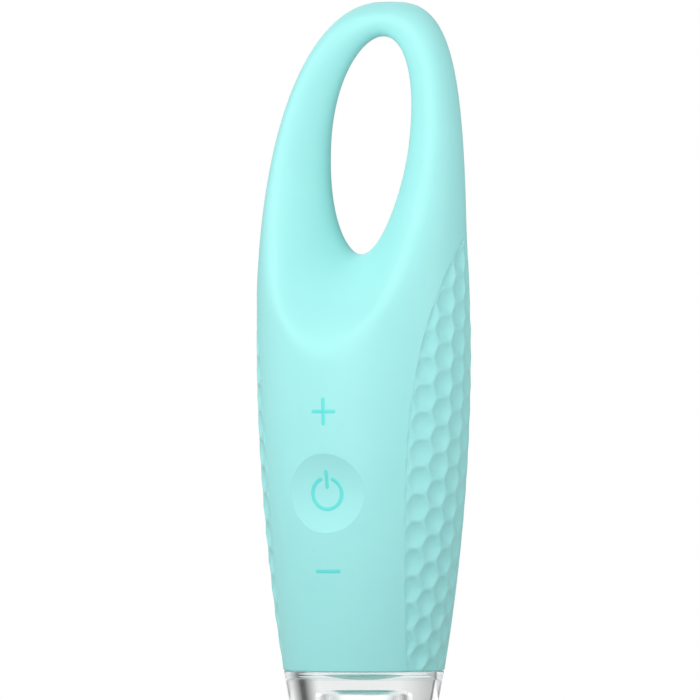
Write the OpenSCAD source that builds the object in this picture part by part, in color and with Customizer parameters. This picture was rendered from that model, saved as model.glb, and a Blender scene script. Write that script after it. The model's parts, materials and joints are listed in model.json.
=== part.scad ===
// Heated eye massager wand: a silicone skin over a two-part casing and a hard
// loop core, with three front keys, a vibration motor and a clear standing base.
// Millimetres, +Z up, front (the keys) towards -Y, origin under the base on the body axis.

/* [Body] */
// Widest diameter of the body
body_d = 39.6; // [38.6:0.2:42]
// Drop from the hole in the loop to the height where the body is widest
widest_drop = 15.8; // [15.2:0.1:17]
// Diameter of the skin at its bottom edge
skirt_d = 29.7; // [29:0.1:32]
// Height of the clear base under the skin
base_h = 16.8; // [14:0.2:18]

/* [Loop] */
// Width of the hole through the loop
hole_w = 16; // [14:0.5:17]
// Height of the hole through the loop
hole_h = 40.2; // [36:0.2:42]
// Floor of the hole over the motor's weight
hole_floor = 9; // [8.6:0.1:11]
// Thickness of the loop over the hole
loop_top = 6.5; // [6:0.1:8]
// Share by which the hole is wider at its top than in the middle
hole_egg = 0.1; // [0:0.01:0.12]
// How far back the tip of the loop leans
loop_sweep = 12.5; // [8:0.5:14]
// Front depth of the loop about its leaning centre line
loop_front = 16.2; // [14:0.2:18]
// Back depth of the loop about its leaning centre line
loop_back = 12.9; // [11:0.2:15]
// Radius of the rounded rim of the hole
rim_r = 3.5; // [3.2:0.1:4]
// Slope of the dish below the hole, depth over height
dish_slope = 0.9; // [0.8:0.01:1]
// Softness of the crease under the dish, as a share
crease = 0.04; // [0.03:0.01:0.08]
// Softness of the crease up the sides of the loop, as a share
crease_top = 0.3; // [0.2:0.01:0.45]
// How far forward the saddle under the hole sits
saddle = 1.5; // [0:0.1:2]

/* [Skin] */
// Wall of the silicone skin
skin_t = 1.5; // [1.2:0.1:1.8]
// Gap between the skin and the casing
skin_fit = 0.15; // [0.12:0.01:0.25]

/* [Grip] */
// Distance between two rows of dimples
hex_pitch = 5; // [4.4:0.1:6]
// Width of the ridge between two dimples
hex_ridge = 0.7; // [0.5:0.1:1.2]
// Depth of a dimple
hex_depth = 0.5; // [0.3:0.05:0.7]
// Half-width of a grip panel, degrees round the body
grip_half = 44; // [35:0.5:46]
// Rise of a grip panel's tip over the bottom of the hole
grip_rise = 2.7; // [0:0.1:4]
// Drop from the plus key to the height where a grip panel is widest
grip_drop = 13.5; // [10:0.5:18]

/* [Keys] */
// Diameter of the plus and minus keys
key_d = 9; // [7:0.2:10]
// Diameter of the power key
power_d = 14.5; // [12:0.1:15]
// Depth of the dish in the power key
power_dish = 1.2; // [0.6:0.1:1.4]
// Drop from the widest height to the plus key
plus_drop = 13; // [12.6:0.1:14]
// Drop from the plus key to the power key
power_drop = 15; // [14.2:0.1:16]
// Drop from the power key to the minus key
minus_drop = 14.2; // [13.8:0.1:15]
// Travel of a key
key_travel = 0.5; // [0.3:0.05:0.6]
// Gap round a key
key_gap = 0.12; // [0.08:0.01:0.2]
// Thinnest wall of a key pad
pad_t = 0.6; // [0.5:0.05:0.8]
// Thickness of a plunger's head
head_t = 0.7; // [0.5:0.05:0.9]
// Diameter of a plunger's pin
pin_d = 4; // [3:0.1:4.4]

/* [Casing] */
// Wall of the casing
casing_t = 1.5; // [1.2:0.1:1.8]
// Drop from the widest height to the casing's top edge
casing_drop = 5.5; // [5.2:0.1:6]
// Depth of the loop core's spigot in the casing
spigot_h = 5; // [4:0.5:5.5]
// Drop from the minus key to the lower casing screws
screw_drop = 5.3; // [4.5:0.1:6]
// Rise from the power key to the upper casing screws
screw_rise = 9.5; // [8:0.1:10]
// Diameter of a casing screw's boss
boss_d = 5; // [4.6:0.1:5.2]
// Thread diameter of the screws
screw_d = 2; // [1.6:0.1:2.2]
// Head diameter of the screws
screw_head_d = 3.6; // [3:0.1:3.8]
// Length of a casing screw under its head
screw_l = 9.5; // [8:0.1:10]
// Distance of a screw head's seat behind the parting plane
screw_seat = 5; // [4.4:0.1:5.2]
// Thickness of the bottom cap's plate
cap_t = 2; // [1.6:0.1:2.2]
// Height of the bottom cap's lip in the casing
cap_lip = 2.4; // [1.6:0.1:2.8]

/* [Board] */
// Width of the circuit board
board_w = 15; // [12:0.5:15.5]
// Drop from the minus key to the board's lower edge
board_drop = 7; // [6.4:0.1:7.6]
// Rise of the board's upper edge over the motor's lower end
board_rise = 2.5; // [2:0.1:3]
// Thickness of the circuit board
board_t = 1.2; // [0.8:0.1:1.4]
// Distance from the body axis to the board's front face
board_y = 10.4; // [10:0.1:10.8]
// Width of a push switch
switch_w = 4.5; // [4:0.1:5]
// Height of a push switch above the board
switch_h = 2; // [1.6:0.1:2.2]
// Diameter of a push switch's stem
stem_d = 2; // [1.6:0.1:2.4]
// How far a stem stands proud of its switch
stem_out = 0.9; // [0.7:0.05:1]

/* [Battery] */
// Diameter of the battery cell
cell_d = 14; // [13:0.1:14.4]
// Length of the battery cell
cell_h = 38; // [35:0.5:38.5]
// Distance from the body axis back to the cell's axis
cell_y = 3; // [2.6:0.1:3.2]
// Wall of the battery tray
tray_t = 0.9; // [0.8:0.1:1.1]
// Thickness of a battery tab
tab_t = 0.3; // [0.2:0.05:0.4]
// Room for the leads between the battery and the motor
lead_room = 3; // [2.9:0.1:4]

/* [Motor] */
// Diameter of the motor's can
motor_d = 9.8; // [8:0.1:10.4]
// Length of the motor's can
motor_h = 12; // [10:0.5:13]
// Wall of the rubber boot round the motor
boot_t = 1; // [0.6:0.1:1.2]
// Diameter of the motor's shaft
shaft_d = 1.2; // [1:0.1:1.5]
// Radius of the eccentric weight
weight_r = 4.3; // [3.4:0.1:4.5]
// Thickness of the eccentric weight
weight_t = 3.5; // [3:0.1:4]
// Gap round the spinning weight
spin_gap = 0.6; // [0.5:0.1:1]

/* [Heater] */
// Thickness of the heating film
film_t = 0.2; // [0.1:0.05:0.25]
// Gap between the skin and the loop core, which holds the film
film_gap = 0.32; // [0.3:0.01:0.4]
// Diameter of the temperature sensor
sensor_d = 1.6; // [1:0.1:2]

/* [Charging] */
// Bore of the charging socket
jack_d = 2.6; // [2.5:0.05:3.5]
// Depth of the charging socket's bore
jack_depth = 7; // [6:0.5:8]
// Outer diameter of the socket's barrel
barrel_d = 5.4; // [5:0.1:5.6]
// Rise of the charging socket's axis over the bottom cap
jack_rise = 3.6; // [3.4:0.1:4]

/* [Base] */
// Diameter of the flat foot
foot_d = 20.8; // [19:0.2:22]
// Radius of the rounded edge round the foot
foot_r = 1.6; // [1:0.1:2]
// Diameter of the hollow inside the clear base
hollow_d = 12; // [10:0.2:14]
// Height of the clear web over the hollow
web_t = 2.9; // [2.4:0.1:3.4]
// Thickness of the clear floor disc
floor_t = 2; // [1.5:0.1:2.5]
// Diameter of the dome under the bottom cap
dome_d = 10.5; // [10:0.5:14.5]
// Height of the dome under the bottom cap
dome_h = 0.9; // [0.5:0.1:1.2]

/* [Hidden] */

skin_col = [0.66, 0.96, 0.94];
shell_col = [0.93, 0.94, 0.94];
steel_col = [0.78, 0.79, 0.80];
clear_col = [0.85, 0.93, 0.95, 0.5];

in_fit = 0.1;              // fit between hard parts that slide into each other
mesh_fine = 64;
mesh_mid = 40;

// heights, stacked up from the foot to the tip of the loop
casing_low = base_h + cap_t;
jack_z = casing_low + jack_rise;
tray_low = jack_z + barrel_d / 2 + 0.5;
cell_low = tray_low + tray_t + tab_t;
motor_low = cell_low + cell_h + lead_room;
motor_top = motor_low + motor_h;
weight_low = motor_top + 1;
weight_top = weight_low + weight_t;
hole_low = weight_top + hole_floor;
hole_z = hole_low + hole_h / 2;
total_h = hole_low + hole_h + loop_top;
widest_z = hole_low - widest_drop;
casing_top = widest_z - casing_drop;
join_z = casing_top - 2;   // below this every section is a circle
plus_z = widest_z - plus_drop;
power_z = plus_z - power_drop;
minus_z = power_z - minus_drop;
grip_top = hole_low + grip_rise;
grip_mid = plus_z - grip_drop;
board_low = minus_z - board_drop;
board_top = motor_low + board_rise;

body_r = body_d / 2;
outline_n = 2.67;          // power of the rounded outline over the widest height
sweep_n = 2.7;             // power of the loop's lean
blend_front = 0.7;         // share of the loop's height over which its front thins
blend_back = 0.36;         // share over which its back thins
back_flare = 1.09;         // the back of the rim is this much wider than the front
crease_back = 0.12;        // softness of the crease under the dish at the back, as a share
edge_flat = 0.04;          // half-height of the last facet on the outline, as a share
hole_a = hole_w / 2;
hole_b = hole_h / 2;
rise = total_h - widest_z;
taper = (body_r - skirt_d / 2) / pow(widest_z - base_h, 2);

// ---- form of the wand, as formulas; w is how far a surface lies under the skin ----
function clamp01(t) = min(1, max(0, t));
function ease(t) = let(c = clamp01(t)) c * c * (3 - 2 * c);
function round_join(a, b, q) = let(m = min(a, b)) m * pow(1 + pow(m / max(a, b), 1 / q), -q);
function radius(z, w = 0) = body_r - w - taper * pow(max(widest_z - z, 0), 2);
function up(z, w = 0) = clamp01((z - widest_z) / (rise - w));
function lean(z) = loop_sweep * pow(up(z), sweep_n);
function share_out(x, z, w) =
    let(a = abs(x) / radius(z, w), u = up(z, w))
    min(1, u > 0 ? pow(pow(a, outline_n) + pow(u, outline_n), 1 / outline_n) : a);
function hole_half(z, w) = (hole_a + w) * (1 + hole_egg * min(1, max(-1, (z - hole_z) / (hole_b + w))));

// distance from an ellipse, by a few steps along its evolute
function ell_step(p, a, b, t, n) = n == 0 ? t :
    let(e = [(a * a - b * b) * pow(t.x, 3) / a, (b * b - a * a) * pow(t.y, 3) / b],
        r = norm([a * t.x, b * t.y] - e), q = norm(p - e) + 1e-9,
        s = [clamp01(((p.x - e.x) * r / q + e.x) / a), clamp01(((p.y - e.y) * r / q + e.y) / b)])
    ell_step(p, a, b, s / (norm(s) + 1e-9), n - 1);
function ell_dist(p, a, b) = pow(p.x / a, 2) + pow(p.y / b, 2) <= 1 ? 0 :
    let(t = ell_step(p, a, b, [0.7, 0.7], 4)) norm([a * t.x, b * t.y] - p);
function rim_dist(x, z, w) =
    ell_dist([abs(x) * (hole_a + w) / hole_half(z, w), abs(z - hole_z)], hole_a + w, hole_b + w);

// depth of the rounded rim and the dish at distance d from the hole
function rim_depth(d, z, w) =
    let(v = clamp01((z - hole_low) / hole_h), r = rim_r * (1 - 0.3 * v) - w, a = dish_slope - 0.4 * v)
    sqrt(2 * r * d + pow(a * d, 2));
function lift(z) = saddle * ease((hole_z - z) / hole_b) * ease((z - join_z) / 12);
function half_depth(z, w, top, span) = let(r = radius(z, w)) r + (top - w - r) * ease(up(z) / span);
function round_off(x, z, w) = sqrt(max(1 - pow(share_out(x, z, w), 2), edge_flat * edge_flat));
function hull_depth(x, z, w, front) = front ? half_depth(z, w, loop_front, blend_front) * round_off(x, z, w)
    : half_depth(z, w, loop_back, blend_back) * round_off(x, z, w) + lift(z);
function dish_depth(x, z, w, front) = let(c = rim_depth(rim_dist(x, z, w), z, w))
    front ? c + lift(z) : back_flare * c;
function crease_soft(z, low) = max(0.005, ease((z - join_z) / 6)
    * (low + (crease_top - low) * ease((z - widest_z - 2) / 26)));
function front_y(x, z, w = 0) = lean(z)
    - round_join(hull_depth(x, z, w, true), dish_depth(x, z, w, true), crease_soft(z, crease));
function back_y(x, z, w = 0) = lean(z) - lift(z)
    + round_join(hull_depth(x, z, w, false), dish_depth(x, z, w, false), crease_soft(z, crease_back));

// share of the way from the rim (q) to the outline (p) at which the dish meets the hull
function in_dish(x, z, w, front) = dish_depth(x, z, w, front) < hull_depth(x, z, w, front);
function crease_at(p, q, w, front, low, high, n) = n == 0 ? (low + high) / 2 :
    let(m = (low + high) / 2, c = q + (p - q) * m, inside = in_dish(c.x, c.y, w, front))
    crease_at(p, q, w, front, inside ? m : low, inside ? high : m, n - 1);
function crease_share(p, q, w, front, m = 0.1) = let(c = q + (p - q) * m)
    m < 1 && in_dish(c.x, c.y, w, front) ? crease_share(p, q, w, front, m + 0.1)
    : crease_at(p, q, w, front, m - 0.1, m, 6);

// points of the outline, from the tip down the side and in along the joint plane
function outline_point(k, w, fine) = let(top = fine, side = 2, low = fine / 2, r = radius(join_z, w))
    k <= top ? let(a = 90 * k / top)
        [(body_r - w) * pow(sin(a), 2 / outline_n), widest_z + (rise - w) * pow(cos(a), 2 / outline_n)]
    : k <= top + side ? let(z = widest_z + (join_z - widest_z) * (k - top) / side) [radius(z, w), z]
    : [r * cos(90 * (k - top - side) / low), join_z];
function rim_point(p, w) = let(a = atan2(p.x, (p.y - hole_z) / 2), z = hole_z + (hole_b + w) * cos(a))
    [(hole_a + w) * (1 + hole_egg * cos(a)) * sin(a), z];

// column k of the form's grid: front points from the rim to the outline, then back points to the rim
function half_columns(fine) = fine + 2 + fine / 2;
function spread(t, i, rings) = let(inner = rings / 2) i <= inner ? t * pow(i / inner, 1.6)
    : t + (1 - t) * (1 - pow(1 - (i - inner) / (rings - inner), 2));
function column(k, w, fine, rings) =
    let(half = half_columns(fine), m = k <= half ? k : 2 * half - k, s = k <= half ? 1 : -1,
        p = outline_point(m, w, fine), q = rim_point(p, w), sec = 2 * rings + 1,
        tf = crease_share(p, q, w, true), tb = crease_share(p, q, w, false))
    [for (i = [0:sec - 1]) let(front = i <= rings,
        c = q + (p - q) * (front ? spread(tf, i, rings) : spread(tb, sec - i, rings)))
        [s * c.x, front ? front_y(c.x, c.y, w) : back_y(c.x, c.y, w), c.y]];

// closed solid of the wand's form at depth w under its skin, down to z = low
module wand_form(w = 0, low = base_h, fine = 16, rings = 8, steps = 8) {
    cols = 2 * half_columns(fine);
    sec = 2 * rings + 1;
    side_k = fine + 2;
    upper = [for (k = [0:cols - 1]) each column(k, w, fine, rings)];
    edge = concat([for (k = [side_k:cols - side_k]) k * sec + rings],
                  [for (k = [cols - side_k:-1:side_k]) k * sec + rings + 1]);
    n = len(edge);
    lower = [for (j = [1:steps], e = edge) let(z = join_z + (low - join_z) * j / steps,
             p = upper[e], f = radius(z, w) / norm([p.x, p.y])) [p.x * f, p.y * f, z]];
    base = len(upper);
    function ring(j, i) = j == 0 ? edge[i % n] : base + (j - 1) * n + i % n;
    skin = [for (k = [0:cols - 1], i = [0:sec - 1])
                if (i != rings || k < side_k || k >= cols - side_k)
                    let(a = k * sec + i, b = k * sec + (i + 1) % sec,
                        c = ((k + 1) % cols) * sec + (i + 1) % sec, d = ((k + 1) % cols) * sec + i)
                    each [[a, b, c], [a, c, d]]];
    wall = [for (j = [0:steps - 1], i = [0:n - 1])
                each [[ring(j, i), ring(j + 1, i), ring(j + 1, i + 1)],
                      [ring(j, i), ring(j + 1, i + 1), ring(j, i + 1)]]];
    foot = [for (i = [1:n - 2]) [ring(steps, 0), ring(steps, i + 1), ring(steps, i)]];
    polyhedron(concat(upper, lower), concat(skin, wall, foot), convexity = 8);
}

// solid of revolution under the skin between two depths and two heights
module round_wall(outer, inner, low, high) {
    n = 8;
    zs = [for (i = [0:n]) low + (high - low) * i / n];
    rotate_extrude($fn = mesh_fine)
        polygon(concat([for (z = zs) [radius(z, outer), z]],
                       inner == undef ? [[0, high], [0, low]]
                       : [for (i = [n:-1:0]) [radius(zs[i], inner), zs[i]]]));
}
// round bar along Y between two planes
module bar_y(x, z, d, y0, y1, fn = mesh_mid) {
    translate([x, y0, z]) rotate([-90, 0, 0]) cylinder(d = d, h = y1 - y0, $fn = fn);
}
module box_between(a, b) {
    translate(a) cube(b - a);
}
module as_one_mesh() {
    resize([0, 0, 0]) children();
}

// ---- keys ----
KEYS = [[plus_z, key_d, 0], [power_z, power_d, power_dish], [minus_z, key_d, 0]];
function bulge(z, d) = let(r = radius(z)) r - sqrt(r * r - d * d / 4);
function pad_back(k) = -radius(k[0]) + max(k[2], bulge(k[0], k[1])) + pad_t;
function pocket_y(k) = pad_back(k) + head_t + key_travel + 0.15;
key_floor_t = 1.1;
stem_y = -board_y - switch_h - stem_out;

module key_pad(k) {
    rings = 4;
    fn = mesh_mid;
    back = pad_back(k);
    function face(r, a) = let(x = r * cos(a), z = k[0] + r * sin(a))
        [x, -sqrt(pow(radius(z), 2) - x * x) + k[2] * (1 - pow(2 * r / k[1], 2)), z];
    pts = concat([face(0, 0)],
                 [for (i = [1:rings], j = [0:fn - 1]) face(k[1] / 2 * i / rings, 360 * j / fn)],
                 [for (j = [0:fn - 1]) let(p = face(k[1] / 2, 360 * j / fn)) [p.x, back, p.z]]);
    function id(i, j) = 1 + (i - 1) * fn + j % fn;
    polyhedron(pts, concat([for (j = [0:fn - 1]) [0, id(1, j), id(1, j + 1)]],
        [for (i = [1:rings], j = [0:fn - 1])
            each [[id(i, j), id(i + 1, j), id(i + 1, j + 1)], [id(i, j), id(i + 1, j + 1), id(i, j + 1)]]],
        [[for (j = [fn - 1:-1:0]) id(rings + 1, j)]]), convexity = 4);
}
module plunger(k) {
    bar_y(0, k[0], k[1] - 2, pad_back(k), pad_back(k) + head_t);
    bar_y(0, k[0], pin_d, pad_back(k) + head_t, stem_y);
}
module switch_stem(k) {
    bar_y(0, k[0], stem_d, stem_y, stem_y + stem_out + 0.3);
}
module plus_key() { color(skin_col) key_pad(KEYS[0]); }
module power_key() { color(skin_col) key_pad(KEYS[1]); }
module minus_key() { color(skin_col) key_pad(KEYS[2]); }
module plus_plunger() { color(shell_col) plunger(KEYS[0]); }
module power_plunger() { color(shell_col) plunger(KEYS[1]); }
module minus_plunger() { color(shell_col) plunger(KEYS[2]); }
module plus_switch_stem() { color("dimgray") switch_stem(KEYS[0]); }
module power_switch_stem() { color("dimgray") switch_stem(KEYS[1]); }
module minus_switch_stem() { color("dimgray") switch_stem(KEYS[2]); }

// ---- silicone skin with its honeycomb grips ----
inner_rings = 6;           // rings of the grid under the skin
hex_columns = 6;           // columns of dimples on each side
hex_first = 55;            // azimuth of the first column from the front
hex_turn = asin(hex_pitch * cos(30) / radius(grip_mid)); // azimuth from one column to the next
hex_lean = 0.115;          // degrees a column turns back per millimetre of height
hex_z = widest_z - 5.5;    // height of one dimple in the first column
function grip_reach(z) = let(high = z > grip_mid, v = abs(z - grip_mid) / (high ? grip_top - grip_mid : 60))
    grip_half * pow(max(0, 1 - pow(v, high ? 2.4 : 2)), high ? 0.72 : 0.5);
module dimple(az, z) {
    r = radius(z) * pow(1 - pow(up(z), outline_n), 1 / outline_n);
    slope = atan(2 * taper * max(widest_z - z, 0));
    flat = hex_pitch - hex_ridge;
    lift = 0.4;
    rotate([0, 0, az - 90]) translate([r, 0, z]) rotate([0, 90 + slope, 0])
        translate([0, 0, -hex_depth]) rotate([0, 0, 30])
            cylinder(d1 = (flat - 1.6) / cos(30), d2 = (flat + 1.6 * lift / hex_depth) / cos(30),
                     h = hex_depth + lift, $fn = 6);
}
module grip_panel() {
    n = 10;
    reach = body_r + 4;
    zs = [for (i = [0:n]) base_h - 1 + (grip_top - base_h + 1) * i / n];
    function dir(a) = [sin(a), -cos(a)];
    pts = [for (z = zs) let(h = max(grip_reach(max(z, base_h)), 0.2))
        each [[0, 0, z], concat(reach * dir(90 - h), z), concat(reach * dir(90), z),
              concat(reach * dir(90 + h), z)]];
    faces = [for (j = [0:n - 1], i = [0:3]) let(a = 4 * j + i, b = 4 * j + (i + 1) % 4)
        each [[a, b + 4, b], [a, a + 4, b + 4]]];
    polyhedron(pts, concat(faces, [[0, 1, 2, 3], [4 * n + 3, 4 * n + 2, 4 * n + 1, 4 * n]]), convexity = 4);
}
module grip_dimples() {
    rows = ceil((grip_top - base_h) / hex_pitch);
    intersection() {
        grip_panel();
        for (c = [0:hex_columns - 1], i = [0:rows]) {
            z = hex_z + (c % 2) * hex_pitch / 2 + (4 - i) * hex_pitch;
            az = hex_first + hex_turn * c + hex_lean * (z - grip_mid);
            if (z > base_h + 1 && abs(az - 90) < grip_reach(z) + 4) dimple(az, z);
        }
    }
}
module silicone_sleeve() {
    color(skin_col) as_one_mesh() difference() {
        wand_form();
        wand_form(w = skin_t, low = base_h - 1, rings = inner_rings);
        for (k = KEYS) bar_y(0, k[0], k[1] + 2 * key_gap, -body_r - 2, -5);
        bar_y(0, jack_z, gasket_d + 2 * in_fit, 5, body_r);
        grip_dimples();
        mirror([1, 0, 0]) grip_dimples();
    }
}

// ---- casing ----
casing_w = skin_t + skin_fit;
casing_in = casing_w + casing_t;
function boss_x(z) = radius(z, casing_in) + 0.6 - boss_d / 2;
module at_screws() {
    for (z = [minus_z - screw_drop, power_z + screw_rise], s = [-1, 1]) translate([s * boss_x(z), 0, z]) children();
}
screw_tip = screw_seat - screw_l;
module casing_half(s) {
    intersection() {
        union() {
            round_wall(casing_w, casing_in, casing_low, casing_top);
            intersection() {
                round_wall(casing_w, undef, casing_low, casing_top);
                union() {
                    at_screws() bar_y(0, 0, boss_d, screw_tip - 1.5, body_r);
                    for (k = KEYS) bar_y(0, k[0], k[1] + 3, -body_r, pocket_y(k) + key_floor_t);
                }
            }
        }
        box_between([-body_r, s < 0 ? -body_r : 0, 0], [body_r, s < 0 ? 0 : body_r, total_h]);
    }
}
module casing_front() {
    color(shell_col) difference() {
        casing_half(-1);
        for (k = KEYS) {
            bar_y(0, k[0], k[1] + 0.8, -body_r, pocket_y(k));
            bar_y(0, k[0], pin_d + 2 * key_gap, -body_r, 0);
        }
        at_screws() bar_y(0, 0, screw_d, screw_tip - 0.5, 0.1);
        bar_y(0, led_z, led_hole, -body_r, 0, 24);
    }
}
module casing_rear() {
    color(shell_col) difference() {
        casing_half(1);
        at_screws() {
            bar_y(0, 0, screw_d + 0.3, -0.1, body_r);
            bar_y(0, 0, screw_head_d + 0.4, screw_seat, body_r);
        }
        bar_y(0, jack_z, barrel_d + 2 * in_fit, 0, body_r);
    }
}
module casing_screws() {
    head = 0.4 * screw_head_d;
    slot = 0.28 * screw_head_d;
    color(steel_col) at_screws() difference() {
        union() {
            bar_y(0, 0, screw_head_d, screw_seat, screw_seat + head);
            bar_y(0, 0, screw_d, screw_tip, screw_seat);
        }
        for (a = [0, 90]) rotate([0, a, 0])
            box_between([-slot, screw_seat + head / 2, -slot / 5], [slot, screw_seat + 2 * head, slot / 5]);
    }
}

// ---- loop core, heater and sensor ----
core_w = skin_t + film_gap;
spigot_t = 1.6;            // wall of the spigot
spigot_low = casing_top - spigot_h;
boot_d = motor_d + 2 * boot_t;
sensor_z = hole_low - 0.6 * hole_floor;
module loop_core() {
    color("lightgray") as_one_mesh() difference() {
        union() {
            intersection() {
                wand_form(w = core_w, low = casing_top - 4, rings = inner_rings, steps = 1);
                box_between([-body_r, -body_r, casing_top], [body_r, body_r, total_h]);
            }
            translate([0, 0, spigot_low]) difference() {
                cylinder(r = radius(spigot_low, casing_in + in_fit), h = casing_top - spigot_low, $fn = mesh_mid);
                translate([0, 0, -1]) cylinder(r = radius(spigot_low, casing_in + spigot_t),
                                               h = casing_top - spigot_low + 1, $fn = mesh_mid);
            }
            translate([0, 0, spigot_low]) cylinder(d = boot_d + 2.4, h = casing_top - spigot_low, $fn = mesh_mid);
        }
        translate([0, 0, spigot_low - 1]) cylinder(d = boot_d + in_fit, h = motor_top - spigot_low + 1.01, $fn = mesh_mid);
        translate([0, 0, motor_top]) cylinder(r = weight_r + spin_gap, h = weight_top + spin_gap - motor_top,
                                              $fn = mesh_mid);
        bar_y(0, sensor_z, sensor_d + 0.2, -body_r, front_y(0, sensor_z, core_w) + 2.2);
        box_between([-key_d, -body_r, spigot_low - 1],
                    [key_d, pocket_y(KEYS[0]) + key_floor_t + in_fit, casing_top]);
        box_between([tail_x - tail_w / 2 - 0.3, -body_r, casing_top - 1],
                    [tail_x + tail_w / 2 + 0.3, tail_y + 0.8, casing_top + 1.4]);
    }
}
// piece of the film between columns k0 and k1 and rings i0 and i1 of the grid under the skin
module film_patch(k0, k1, i0, i1, closed = false, t = film_t) {
    fine = 16;
    cols = 2 * half_columns(fine);
    nk = k1 - k0 + (closed ? 0 : 1);
    function section(k) = let(c = column(k % cols, film_w, fine, inner_rings))
        concat([for (i = [i0:i1]) c[i] - [0, t / 2, 0]], [for (i = [i1:-1:i0]) c[i] + [0, t / 2, 0]]);
    sec = 2 * (i1 - i0 + 1);
    pts = [for (k = [k0:k0 + nk - 1]) each section(k)];
    sides = [for (k = [0:closed ? nk - 1 : nk - 2], i = [0:sec - 1])
        let(a = k * sec + i, b = k * sec + (i + 1) % sec, c = ((k + 1) % nk) * sec + (i + 1) % sec,
            d = ((k + 1) % nk) * sec + i) each [[a, b, c], [a, c, d]]];
    ends = closed ? [] : [[for (i = [sec - 1:-1:0]) i], [for (i = [0:sec - 1]) (nk - 1) * sec + i]];
    polyhedron(pts, concat(sides, ends), convexity = 8);
}
// ribbon from the film down over the core and in to the board
film_w = skin_t + film_gap / 2;
tail_x = 1.2;
tail_w = 2;
tail_y = 1.7 - radius(spigot_low, casing_in + spigot_t);
tail_z = casing_top + 0.5;
tail_end_z = board_top - 1.8;
module heater_film() {
    bottom = half_columns(16);
    left = tail_x - tail_w / 2;
    right = tail_x + tail_w / 2;
    color("orange") as_one_mesh() {
        film_patch(0, 2 * bottom, 1, inner_rings / 2, true);
        intersection() {
            film_patch(bottom - 1, bottom, inner_rings / 2 - 1, inner_rings, t = 0.9 * film_t);
            box_between([left, -body_r, tail_z], [right, 0, total_h]);
        }
        box_between([left, front_y(left, tail_z, film_w) + film_t / 2, tail_z], [right, tail_y, tail_z + film_t]);
        box_between([left, tail_y - film_t, tail_end_z], [right, tail_y, tail_z + film_t]);
        box_between([left, tail_y - film_t, tail_end_z], [right, -board_y, tail_end_z + film_t]);
    }
}
module temperature_sensor() {
    y = front_y(0, sensor_z, core_w);
    color("black") bar_y(0, sensor_z, sensor_d, y + film_t + 0.4, y + 2.1);
}

// ---- motor ----
end_t = 0.065 * motor_h;   // plastic end of the motor, under its can
module vibration_motor() {
    color(steel_col) difference() {
        union() {
            translate([0, 0, motor_low]) cylinder(d = motor_d, h = motor_h, $fn = mesh_mid);
            translate([0, 0, motor_low - end_t]) cylinder(d = 0.7 * motor_d, h = end_t + 0.01, $fn = mesh_mid);
        }
        translate([0, 0, motor_top - 0.42 * motor_h]) cylinder(d = shaft_d + 0.08, h = motor_h, $fn = mesh_mid);
    }
}
module motor_boot() {
    color("dimgray") difference() {
        translate([0, 0, motor_low]) cylinder(d = boot_d, h = motor_h - 1, $fn = mesh_mid);
        translate([0, 0, motor_low - 1]) cylinder(d = motor_d, h = motor_h + 2, $fn = mesh_mid);
    }
}
module motor_weight() {
    color("goldenrod") {
        translate([0, 0, motor_top - 0.38 * motor_h])
            cylinder(d = shaft_d, h = weight_top - motor_top + 0.38 * motor_h, $fn = mesh_mid);
        translate([0, 0, weight_low]) intersection() {
            cylinder(r = weight_r, h = weight_t, $fn = mesh_mid);
            union() {
                box_between([-weight_r, 0, 0], [weight_r, weight_r, weight_t]);
                cylinder(d = 2.3 * shaft_d, h = weight_t, $fn = mesh_mid);
            }
        }
    }
}

// ---- board and battery ----
board_back = board_t - board_y;
chip_t = 0.8 * board_t;
module circuit_board() {
    color("darkgreen") box_between([-board_w / 2, -board_y, board_low], [board_w / 2, board_back, board_top]);
}
module switch_bodies() {
    color("silver") for (k = KEYS) difference() {
        box_between([-switch_w / 2, -board_y - switch_h, k[0] - switch_w / 2],
                    [switch_w / 2, -board_y, k[0] + switch_w / 2]);
        bar_y(0, k[0], stem_d + 0.16, -board_y - switch_h - 1, -board_y - 0.4);
    }
}
module chip(x, z, w, h) {
    translate([x, board_back, z]) cube([w, chip_t, h]);
}
module control_chips() {
    chip_w = 0.4 * board_w;
    color("black") {
        chip(-chip_w / 2, power_z - 1.3 * chip_w, chip_w, chip_w);
        chip(-0.4 * chip_w, power_z + chip_w / 2, 0.8 * chip_w, 0.65 * chip_w);
        chip(-0.7 * chip_w, minus_z - 0.55 * chip_w, 0.65 * chip_w, chip_w / 2);
    }
}
led_z = (power_z + power_d / 2 + plus_z - key_d / 2) / 2;
led_hole = 1.6;            // light window in the casing
module status_led() {
    color("white") box_between([-led_hole, -board_y - led_hole / 2, led_z - led_hole / 2],
                               [led_hole, -board_y, led_z + led_hole / 2]);
}
tray_h = cell_h - 4;
tray_leg = 1.6;            // width of a leg and of a stand-off of the tray
tray_cut = cell_d / 2 - 4; // half the width of the slot for the tab
cell_front = cell_y - cell_d / 2 - in_fit - tray_t;
tab_w = cell_d / 7;        // half the width of a battery tab
lead_d = 0.8;
lead_x = motor_d / 7;
lead_z = max(board_low, cell_low) + 1.5; // height of the lower battery lead
module battery_cell() {
    color("royalblue") translate([0, cell_y, cell_low]) {
        cylinder(d = cell_d, h = cell_h - 1, $fn = mesh_mid);
        cylinder(d = cell_d - 7, h = cell_h, $fn = mesh_mid);
    }
}
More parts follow.
